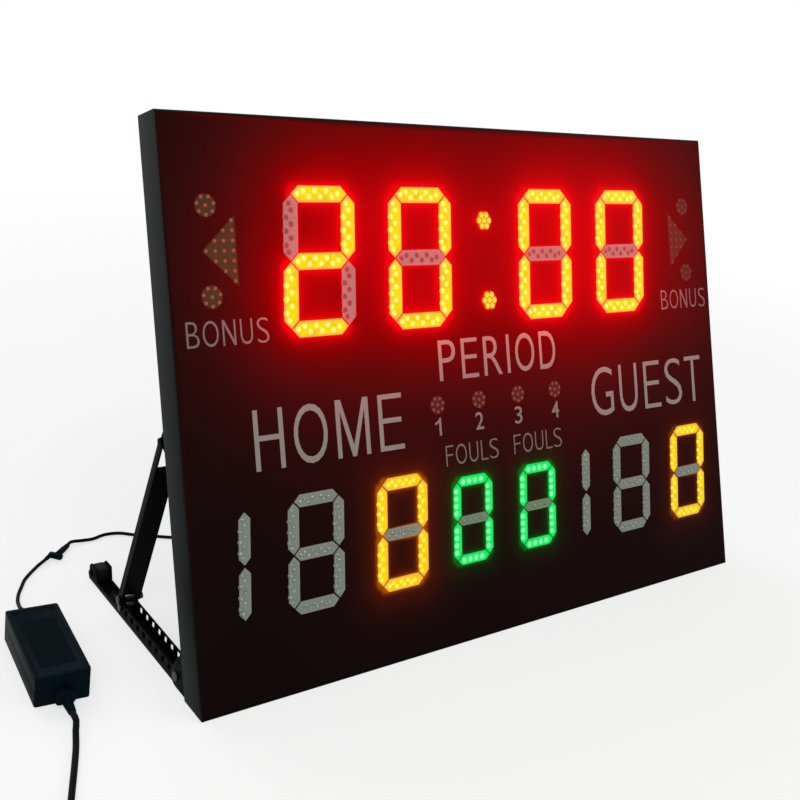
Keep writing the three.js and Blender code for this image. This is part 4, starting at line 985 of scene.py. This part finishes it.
# Lamps: the colon, the period row and the bonus circles and arrows, moulded as the digits are.
# Only the colon is lit; the others are dark smoky brown with their diodes showing through.
lamp_on = (0.93, 0.72, 0.012), (0.86, 0.50, 0.012), (0.88, 0.32, 0.085), (1.0, 0.55, 0.05)
colon_lens = lens_finish(
    "colon_lens", ((0.50, 0.185, 0.17), (0.42, 0.12, 0.12), (0.36, 0.05, 0.055)),
    ((0.95, 0.12, 0.004), (0.90, 0.06, 0.004), (0.80, 0.0, 0.004), (1.0, 0.80, 0.05)))
period_lens = lens_finish(
    "period_lens", ((0.058, 0.019, 0.011), (0.042, 0.013, 0.008), (0.30, 0.068, 0.055)), lamp_on,
    edge=(0.045, 0.011, 0.009), glow_share=0.7)
bonus_lens = lens_finish(
    "bonus_lens", ((0.054, 0.038, 0.015), (0.034, 0.022, 0.009), (0.36, 0.078, 0.074)), lamp_on,
    edge=(0.040, 0.011, 0.010), glow_share=0.6)
# Painted shade: the right bonus sign has a darker copy of the bonus lens.
shaded_bonus_lens = lens_finish(
    "shaded_bonus_lens", ((0.030, 0.018, 0.010), (0.020, 0.011, 0.007), (0.17, 0.038, 0.038)), lamp_on,
    edge=(0.022, 0.008, 0.008), glow_share=0.8)

for kind, finish in zip(lamp_kinds, (colon_lens, period_lens, bonus_lens, shaded_bonus_lens)):
    loops = lamps_at(kind, 0)
    spots = np.array([point for loop in loops for point in loop])
    corners = rectangle(*(spots.min(axis=0) - plate_margin), *(spots.max(axis=0) + plate_margin))
    is_colon = kind == "clock_colon"
    moulding(kind, loops, [is_colon] * len(loops), corners, finish, "clock_lens" if is_colon else "lamp_lens")

# Light diodes: small domes that stand a little out of the lenses, in staggered double rows.
# One tree sets a dome at each place; the lit ones are nearly white at this brightness.
dome_sides = 10
dome_profile = ((1.45, -0.7, 0.0), (1.45, 0.0, 0.0), (1.05, 0.2, 0.5), (0.8, 0.68, 1.0), (0.4, 0.95, 1.0))
dome_crisp = 40
lean_tilt = (-lean, 0.0, 0.0)
lamp_dome_rise = 1.2
period_ring, colon_ring, bonus_ring = 7.6, 7.0, 9.0
arrow_rows, arrow_pitch, arrow_inset = 7, 9.7, 4.2

repeat_tree = bpy.data.node_groups.new("repeat_on_places", "GeometryNodeTree")
for label, kind in (("Places", "Geometry"), ("Shape", "Object"), ("Size", "Vector"), ("Tilt", "Vector"),
                    ("Finish", "Material")):
    repeat_tree.interface.new_socket(label, in_out="INPUT", socket_type=f"NodeSocket{kind}")
repeat_tree.interface.new_socket("Pieces", in_out="OUTPUT", socket_type="NodeSocketGeometry")
given, result, shape_info, instances, realize, coat = (
    repeat_tree.nodes.new(kind) for kind in (
        "NodeGroupInput", "NodeGroupOutput", "GeometryNodeObjectInfo", "GeometryNodeInstanceOnPoints",
        "GeometryNodeRealizeInstances", "GeometryNodeSetMaterial"))
for giver, output, taker, label in (
        (given, "Places", instances, "Points"), (given, "Shape", shape_info, "Object"),
        (shape_info, "Geometry", instances, "Instance"), (given, "Size", instances, "Scale"),
        (given, "Tilt", instances, "Rotation"), (instances, "Instances", realize, "Geometry"),
        (realize, "Geometry", coat, "Geometry"), (given, "Finish", coat, "Material"),
        (coat, "Geometry", result, "Pieces")):
    repeat_tree.links.new(giver.outputs[output], taker.inputs[label])
input_named = {item.name: item.identifier for item in repeat_tree.interface.items_tree}


def repeated(name, shape, places, size, finish, slot, **marks):
    """One plain mesh with the shape set at every place; marks are values that each copy carries."""
    spots = bpy.data.meshes.new(f"{name}_places")
    spots.from_pydata([tuple(place) for place in places], [], [])
    keep_values(spots, **marks)
    holder = bpy.data.objects.new(f"{name}_places", spots)
    scene.collection.objects.link(holder)
    modifier = holder.modifiers.new("repeat", "NODES")
    modifier.node_group = repeat_tree
    for label, value in (("Shape", shape), ("Size", size), ("Tilt", lean_tilt), ("Finish", finish.material)):
        modifier[input_named[label]] = value
    graph = bpy.context.evaluated_depsgraph_get()
    mesh = bpy.data.meshes.new_from_object(holder.evaluated_get(graph))
    bpy.data.objects.remove(holder)
    if "shine" in marks:
        paint_glow(mesh)
    add_piece(name, mesh, finish)


def shape_to_repeat(name, build):
    """An object for the tree to copy; it is removed once its copies are made."""
    shape = bpy.data.objects.new(name, built(name, build, dome_crisp))
    scene.collection.objects.link(shape)
    return shape


def ring_of_verts(work, radius, y, sides):
    angles = (2 * math.pi * i / sides for i in range(sides))
    return [work.verts.new((radius * math.cos(angle), y, radius * math.sin(angle))) for angle in angles]


def diode_dome(work):
    """A dome of radius 1 and height 1 along -Y, with a low skirt; its crown value fades out on the skirt."""
    crown = work.verts.layers.float.new("crown")
    rings = []
    for radius, rise, value in dome_profile:
        rings.append(ring_of_verts(work, radius, -rise, dome_sides))
        for vert in rings[-1]:
            vert[crown] = value
    skinned(work, rings)


dome = shape_to_repeat("diode_dome", diode_dome)


def diodes_along(digit, letter, count, stagger, reaches):
    """Places of one bar's diodes: evenly spaced, each second one to the other side of the middle."""
    start, end = bar_line(digit, letter)
    along = (end - start) / np.linalg.norm(end - start)
    across = np.array([-along[1], along[0]])
    reach = reaches[0] if letter in "adg" else reaches[1]
    spots = []
    for i, share in enumerate(np.linspace(0.5 - reach, 0.5 + reach, count)):
        side = 0 if i in (0, count - 1) else (1 if i % 2 else -1)
        spots.append(start + (end - start) * share + across * stagger * side)
    return spots


def diode_row(name, row, offset, radius, rise, **spacing):
    """The diodes of one row of digits, a little off the middle of their bars as the real ones are seen."""
    places, shine = [], []
    for _, digit, x, z, bars, lit in digits:
        if digit is not row:
            continue
        for letter in bars:
            for across, up in slanted(diodes_along(digit, letter, **spacing), x - offset, z):
                places.append(on_case(across * MM, -lens_proud, up * MM))
                shine.append(float(letter in lit))
    repeated(name, dome, places, (radius * MM, rise * MM, radius * MM), *lens_of[row["light"]], shine=shine)


diode_row("clock_diodes", clock, offset=2.9, radius=2.5, rise=1.3, count=8, stagger=2.8, reaches=(0.35, 0.36))
diode_row("score_diodes", score, offset=2.8, radius=2.0, rise=1.2, count=8, stagger=2.0, reaches=(0.31, 0.35))
diode_row("foul_diodes", foul, offset=2.4, radius=2.5, rise=1.2, count=4, stagger=0.0, reaches=(0.285, 0.28))


def ring_of(x, z, radius, count=7):
    """A ring of diodes with one in the middle."""
    angles = (math.pi / 2 + 2 * math.pi * (i + 0.5) / count for i in range(count))
    return [(x, z), *[(x + radius * math.cos(angle), z + radius * math.sin(angle)) for angle in angles]]


def bonus_spots(side):
    """Places of the diodes of one bonus sign: two rings and the arrow's rows between them."""
    spots = []
    for sign in (1, -1):
        spots += ring_of(side * bonus_column, bonus_height + sign * bonus_spread / 2, bonus_ring)
    for row in range(arrow_rows):
        z = bonus_height + (row - (arrow_rows - 1) / 2) * arrow_pitch
        for column in range(min(row, arrow_rows - 1 - row) + 1):
            spots.append((side * (arrow_base + arrow_inset + column * arrow_pitch), z))
    return spots


colon_spots = [
    spot for sign in (1, -1) for spot in ring_of(0, colon_height + sign * colon_spread / 2, colon_ring, 6)]
period_spots = [spot for x in period_centres for spot in ring_of(x, period_height, period_ring)]
for name, spots, radius, finish, slot, on in (
        ("colon_diodes", colon_spots, 2.9, colon_lens, "clock_lens", 1.0),
        ("period_diodes", period_spots, 1.7, period_lens, "lamp_lens", 0.0),
        ("bonus_diodes_left", bonus_spots(-1), 1.7, bonus_lens, "lamp_lens", 0.0),
        # The right bonus diodes take the lens with painted shade.
        ("bonus_diodes_right", bonus_spots(1), 1.7, shaded_bonus_lens, "lamp_lens", 0.0)):
    places = [on_case(x * MM, -lens_proud, z * MM) for x, z in spots]
    size = (radius * MM, lamp_dome_rise * MM, radius * MM)
    repeated(name, dome, places, size, finish, slot, shine=[on] * len(spots))
bpy.data.objects.remove(dome)

# Words and numerals: grey ink printed on the panel, in a plain typeface with wide spacing.
# Letters of straight strokes are drawn here, and curved ones come from the plain typeface, made thinner.
ink_rise = 0.1 * MM
font_stroke = 0.089
curve_steps = 5
middle_bar = 0.53
numeral_base, numeral_height, numeral_stroke, numeral_tone, numeral_aside = 232.5, 19.8, 3.0, 0.76, 6.4
ink_finish = Finish("grey_ink", Roughness=0.55, Specular_IOR_Level=0.07, Emission_Strength=1.8)
ink_grey = ink_finish.mix(ink_finish.noise(240.0), (0.222, 0.218, 0.200), (0.182, 0.176, 0.162))
ink_finish.feed(
    Base_Color=ink_finish.mix(ink_finish.attribute("tone"), black, ink_grey),
    Emission_Color=ink_finish.attribute("glow", output=0),
)

# Each letter with its left and right side, then each word's left side, base line, height, stroke and tone.
period_letters = (
    ("P", 0, 24.2), ("E", 32.8, 57), ("R", 65.5, 93), ("I", 101, 105.4), ("O", 114.2, 144.5),
    ("D", 152.8, 179))
home_letters = (("H", 0, 33.5), ("O", 45, 85.3), ("M", 96, 137.3), ("E", 149.7, 181.7))
guest_letters = (("G", 0, 39), ("U", 50.6, 84), ("E", 96.8, 128.3), ("S", 137.8, 170.8), ("T", 178.3, 210.6))
fouls_letters = (("F", 0, 11.2), ("O", 14.2, 30), ("U", 33.8, 47), ("L", 51.2, 61.5), ("S", 64.2, 77.5))
bonus_letters = (("B", 0, 13.5), ("O", 17.2, 34), ("N", 38.2, 52.5), ("U", 57.5, 71), ("S", 76, 89.2))
numerals = (("1", 1.7, 10.3), ("2", 0, 12), ("3", 0, 12), ("4", 0, 12))
words = [
    ("period_word", period_letters, -79.9, 291.9, 44.6, 4.5, 0.9),
    ("home_word", home_letters, -316.1, 225.1, 60.0, 5.3, 0.96),
    ("guest_word", guest_letters, 156.0, 225.8, 60.0, 5.3, 0.95),
    ("home_fouls_word", fouls_letters, -79.2, 197.6, 22.5, 1.75, 0.62),
    ("guest_fouls_word", fouls_letters, 22.4, 197.5, 22.5, 1.75, 0.6),
    ("home_bonus_word", bonus_letters, -379.4, 349.8, 24.8, 1.95, 0.6),
    ("guest_bonus_word", bonus_letters, 296.7, 350.5, 24.8, 1.95, 0.5),
    *[(f"period_{numeral[0]}_numeral", (numeral,), x - numeral_aside, numeral_base, numeral_height,
       numeral_stroke, numeral_tone) for numeral, x in zip(numerals, period_centres)],
]


def straight_letter(letter, v, b):
    """Outline of a letter of straight strokes in a unit square; v and b are its upright and level strokes."""
    low, high = middle_bar - b / 2, middle_bar + b / 2
    left, right = 0.5 - v / 2, 0.5 + v / 2
    middle_arm = [(v, low), (0.93, low), (0.93, high), (v, high)]
    return {
        "E": [(0, 0), (1, 0), (1, b), (v, b), *middle_arm, (v, 1 - b), (0.98, 1 - b), (0.98, 1), (0, 1)],
        "F": [(0, 0), (v, 0), (v, low), (0.9, low), (0.9, high), (v, high), (v, 1 - b),
              (1, 1 - b), (1, 1), (0, 1)],
        "H": [(0, 0), (v, 0), (v, low), (1 - v, low), (1 - v, 0), (1, 0),
              (1, 1), (1 - v, 1), (1 - v, high), (v, high), (v, 1), (0, 1)],
        "I": [(0, 0), (1, 0), (1, 1), (0, 1)],
        "L": [(0, 0), (1, 0), (1, b), (v, b), (v, 1), (0, 1)],
        "M": [(0, 0), (v, 0), (v, 0.8), (0.5 - v * 0.45, 0), (0.5 + v * 0.45, 0), (1 - v, 0.8), (1 - v, 0),
              (1, 0), (1, 1), (1 - v * 1.3, 1), (0.5, 0.2), (v * 1.3, 1), (0, 1)],
        "N": [(0, 0), (v, 0), (v, 0.8), (1 - v * 1.2, 0), (1, 0),
              (1, 1), (1 - v, 1), (1 - v, 0.2), (v * 1.2, 1), (0, 1)],
        "T": [(left, 0), (right, 0), (right, 1 - b), (1, 1 - b), (1, 1), (0, 1), (0, 1 - b), (left, 1 - b)],
        "1": [(0.62, 0), (1, 0), (1, 1), (0.74, 1), (0.6, 0.89), (0.34, 0.8), (0, 0.74), (0, 0.59),
              (0.35, 0.65), (0.62, 0.73)],
    }.get(letter)


def curved_letter(letter, width, height, stroke):
    """Points and faces, in a unit square, of a letter of the plain typeface with strokes of one size."""
    line = bpy.data.curves.new(letter, "FONT")
    line.body = letter
    line.resolution_u = curve_steps
    holder = bpy.data.objects.new(letter, line)
    scene.collection.objects.link(holder)
    for thinned in (False, True):
        if thinned:
            line.offset = (stroke / np.mean(np.array((width, height)) / size) - font_stroke) / 2
        graph = bpy.context.evaluated_depsgraph_get()
        mesh = bpy.data.meshes.new_from_object(holder.evaluated_get(graph))
        spots = np.array([v.co[:2] for v in mesh.vertices])
        size = np.ptp(spots, axis=0)
    bpy.data.objects.remove(holder)
    return (spots - spots.min(axis=0)) / size, [tuple(face.vertices) for face in mesh.polygons]


for name, letters, left, base, height, stroke, tone in words:
    spots, faces = [], []
    for letter, start, end in letters:
        outline = straight_letter(letter, stroke / (end - start), stroke / height)
        if outline:
            shape, loops = outline, [range(len(outline))]
        else:
            shape, loops = curved_letter(letter, end - start, height, stroke)
        faces += [tuple(len(spots) + i for i in loop) for loop in loops]
        spots += [(left + start + (end - start) * across, base + height * up) for across, up in shape]
    mesh = bpy.data.meshes.new(name)
    mesh.from_pydata([on_case(across * MM, -ink_rise, up * MM) for across, up in spots], [], faces)
    work = bmesh.new()
    work.from_mesh(mesh)
    bmesh.ops.remove_doubles(work, verts=work.verts, dist=0.01 * MM)
    work.normal_update()
    for face in work.faces:
        if face.normal.y > 0:
            face.normal_flip()
    work.to_mesh(mesh)
    work.free()
    paint_glow(mesh)
    keep_values(mesh, tone=[tone] * len(mesh.vertices))
    add_piece(name, mesh, ink_finish)

# Rear cover: a flat sheet in the case's back, with sounder holes, a hole for the gland
# and twelve pan-head screws with cross recesses round its edge, of blackened steel.
cover_front = case_depth - cover_sheet
sounder_x, sounder_z, sounder_hole, sounder_ring, sounder_sides = 150.0, 330.0, 2.0, 9.0, 14
gland_hole, gland_sides = 6.4, 24
screw_edge, screw_above_edge = 7.8, 6.375
screw_columns, screw_rows = (0.08, 0.36, 0.64, 0.92), (0.33, 0.86)
screw_size = (3.4 * MM, 1.8 * MM, 3.4 * MM)
head_profile = ((1.0, 0.0), (1.0, 0.35), (0.9, 0.68), (0.68, 0.9), (0.45, 1.0))
head_sides, recess_floor, recess_arms = 16, 0.45, (0.42, 0.3, 0.2, 0.3)
bolt_finish = coated(
    "black_bolt_steel", ((0.050, 0.051, 0.053), (0.030, 0.031, 0.032)), (130.0, 3.0), (130.0, 3.0),
    (0.2, 0.34), Metallic=1.0)

sounder_holes = [
    (sounder_x + sounder_ring * math.cos(angle), sounder_z + sounder_ring * math.sin(angle))
    for angle in np.arange(6) * math.pi / 3]
holes = [
    circle(sounder_x, sounder_z, sounder_hole, sounder_sides),
    circle(gland_x / MM, gland_height / MM, gland_hole, gland_sides),
    *[circle(x, z, sounder_hole, sounder_sides) for x, z in sounder_holes],
]
cover_outline = fitted(case_depth)
cover_mesh, _ = pierced_sheet("rear_cover", cover_outline, holes, cover_front, case_depth)
# The rear cover takes the same coat, with its painted shade darker towards the bottom.
add_piece("rear_cover_sheet", cover_mesh, paint_finish, stands_for=["rear_cover"])


def pan_head(work):
    """A screw head of radius 1 and height 1 along +Y, with a cross recess."""
    rings = [ring_of_verts(work, radius, rise, head_sides) for radius, rise in head_profile]
    recess = ring_of_verts(work, 1, recess_floor, head_sides)
    for i, vert in enumerate(recess):
        vert.co.x *= recess_arms[i % 4]
        vert.co.z *= recess_arms[i % 4]
    skinned(work, [*rings, recess])


screw_head = shape_to_repeat("pan_head", pan_head)
side = half_width / MM - screw_edge
low, high = cover_outline[0][1] + screw_above_edge, board_height / MM - screw_edge
screw_spots = [
    *[(side * (2 * share - 1), z) for share in screw_columns for z in (low, high)],
    *[(x, low + (high - low) * share) for share in screw_rows for x in (-side, side)],
]
screw_places = [on_case(x * MM, case_depth, z * MM) for x, z in screw_spots]
repeated("cover_screws", screw_head, screw_places, screw_size, bolt_finish, "bolt_steel")
bpy.data.objects.remove(screw_head)

# Inside the case: circuit boards on folded channels, the controller, its sounder and two ribbon cables.
# They keep the solids' own shapes, in solder mask green, zinc and grey ribbon.
nodes = frame["nodes"]
mask_finish = Finish("green_solder_mask")
mask_cloud = mask_finish.noise(45.0)
tracks = mask_finish.node(
    "ShaderNodeTexBrick", {}, mask_finish.place, (0.010, 0.075, 0.028, 1), (0.014, 0.098, 0.036, 1),
    (0.02, 0.13, 0.05, 1), 220.0, 0.06, 0.1)
mask_finish.feed(
    Base_Color=mask_finish.mix(mask_cloud * 0.5, tracks, (0.012, 0.06, 0.025)),
    Roughness=mask_cloud * 0.2 + 0.3,
)
zinc_finish = Finish("zinc_sheet", Metallic=1.0)
spangle = zinc_finish.node("ShaderNodeTexVoronoi", {"feature": "F1"}, zinc_finish.place, None, 160.0)
zinc_finish.feed(
    Base_Color=zinc_finish.mix(spangle * 1.4, (0.42, 0.43, 0.44), (0.52, 0.53, 0.54)),
    Roughness=spangle * 0.3 + 0.3,
)
ribbon_finish = Finish("ribbon_cable", Roughness=0.6)
cores = ribbon_finish.node(
    "ShaderNodeTexWave", {"wave_type": "BANDS", "bands_direction": "X"}, ribbon_finish.place, 400.0,
    0.0, 0.0, 0.0, 0.0, 0.0, output=1)
ribbon_finish.feed(Base_Color=ribbon_finish.mix(cores, (0.14, 0.15, 0.16), (0.26, 0.27, 0.28)))
ribbon_finish.bump(cores, 0.15 * MM)
for finish, labels in (
        (mask_finish, ("clock_led_board", "period_led_board", "score_led_board", "controller_board")),
        (zinc_finish, ("clock_channel", "controller_channel", "score_channel")),
        (ribbon_finish, ("ribbon_cable_upper", "ribbon_cable_lower")), (plastic_finish, ("sounder",))):
    for material_slot in (slot for label in labels for slot in nodes[label].material_slots):
        material_slot.material = finish.material

# Stand: folding rails, feet, struts and shoes pressed from sheet steel and painted black.
# Their edges are slightly broken; bolts and pins are blackened steel, with turned heads and hexagon nuts.
pressed_edge, bolt_edge = 0.35 * MM, 0.3 * MM
flat_within, broken_from = 0.6, 42
stand_finish = Finish("black_stand_paint", Specular_IOR_Level=0.011)
stand_grain = stand_finish.noise(1100.0, detail=3.0)
stand_scuff = stand_finish.noise(120.0, detail=6.0).over(0.64, 0.08)
stand_finish.feed(
    Base_Color=stand_finish.mix(stand_scuff, (0.0018, 0.0019, 0.0020), (0.0066, 0.0060, 0.0058)),
    Roughness=stand_grain * 0.2 + 0.3,
)
stand_finish.bump(stand_grain, 0.05 * MM)


def edged(label, finish, width):
    """The solid's own shape with its edges broken, standing for it."""
    work = bmesh.new()
    work.from_mesh(nodes[label].data)
    bmesh.ops.remove_doubles(work, verts=work.verts, dist=0.001 * MM)
    bmesh.ops.dissolve_limit(work, angle_limit=math.radians(flat_within), verts=work.verts, edges=work.edges)
    sharp = [e for e in work.edges
             if len(e.link_faces) == 2 and e.calc_face_angle(0) > math.radians(broken_from)]
    bmesh.ops.bevel(
        work, geom=sharp, offset=width, segments=2, profile=0.6, affect="EDGES", clamp_overlap=True)
    name = f"{label}_edged"
    add_piece(name, smoothed(work, name), finish, nodes[label]["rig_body"], [label])


for end in ("left", "right"):
    for label in ("hinge_bracket", "rail", "foot_bracket", "strut", "strut_track", "shoe"):
        edged(f"{label}_{end}", stand_finish, pressed_edge)
    for label in ("hinge_pin", "foot_clamp_bolt", "foot_pivot_bolt", "shoe_bolt"):
        edged(f"{label}_{end}", bolt_finish, bolt_edge)

# Cable gland and adapter: a moulded gland in the rear cover, and a two-part shell on the floor.
# The shell's halves meet in a fine joint; its top has a plain sunk label and two sunk corner pads.
gland_edge, shell_edge = 0.4 * MM, 0.7 * MM
label_corners = (-17, -44, 30.35), (17, 36, 30.55)
pad_aside, pad_half = 19, 3.2
edged("cable_gland", plastic_finish, gland_edge)
for label in ("adapter_top_shell", "adapter_base_shell"):
    edged(label, plastic_finish, shell_edge)
label_finish = coated(
    "blank_label", ((0.0008, 0.0028, 0.0038), (0.0018, 0.0050, 0.0064)), (160.0, 5.0), (160.0, 5.0),
    (0.2, 0.42), Specular_IOR_Level=0.009)


def blank_label(work):
    rounded_block(work, adapter_frame, *label_corners, 0.08, 1)


def corner_pads(work):
    for middle in (-pad_aside, pad_aside):
        rounded_block(
            work, adapter_frame, (middle - pad_half, 50, 30.3), (middle + pad_half, 56.4, 30.6), 0.1, 1)


for name, build in (("adapter_label", blank_label), ("adapter_corner_pads", corner_pads)):
    add_piece(name, built(name, build), label_finish)

# Rail end blocks: rubber blocks held between the two ears at the rear end of each rail.
# They are moulded with well rounded edges and clear the ears by a hair.
rail_inset, rail_width, rail_sheet, ear_gap = 4.5, 18.0, 1.5, 0.2
block_length, block_low, block_high, block_back, block_round = 18.5, 1.7, 18.6, 0.8, 3.2
rubber_finish = coated(
    "black_rubber", ((0.0035, 0.0036, 0.0038), (0.0065, 0.0066, 0.0068)), (700.0,), (700.0,),
    (0.15, 0.62), 0.08 * MM, Specular_IOR_Level=0.09)

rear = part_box("rail_left")[1][1] / MM - block_back
outer = half_width / MM - rail_inset - rail_sheet - ear_gap
inner = half_width / MM - rail_inset - rail_width + rail_sheet + ear_gap
for end, (left, right) in (("left", (-outer, -inner)), ("right", (inner, outer))):
    name = f"rail_end_block_{end}"
    corners = (left, rear - block_length, block_low), (right, rear, block_high)
    block = built(name, lambda work: rounded_block(work, Matrix(), *corners, block_round, 4))
    add_piece(name, block, rubber_finish, f"rail_{end}")
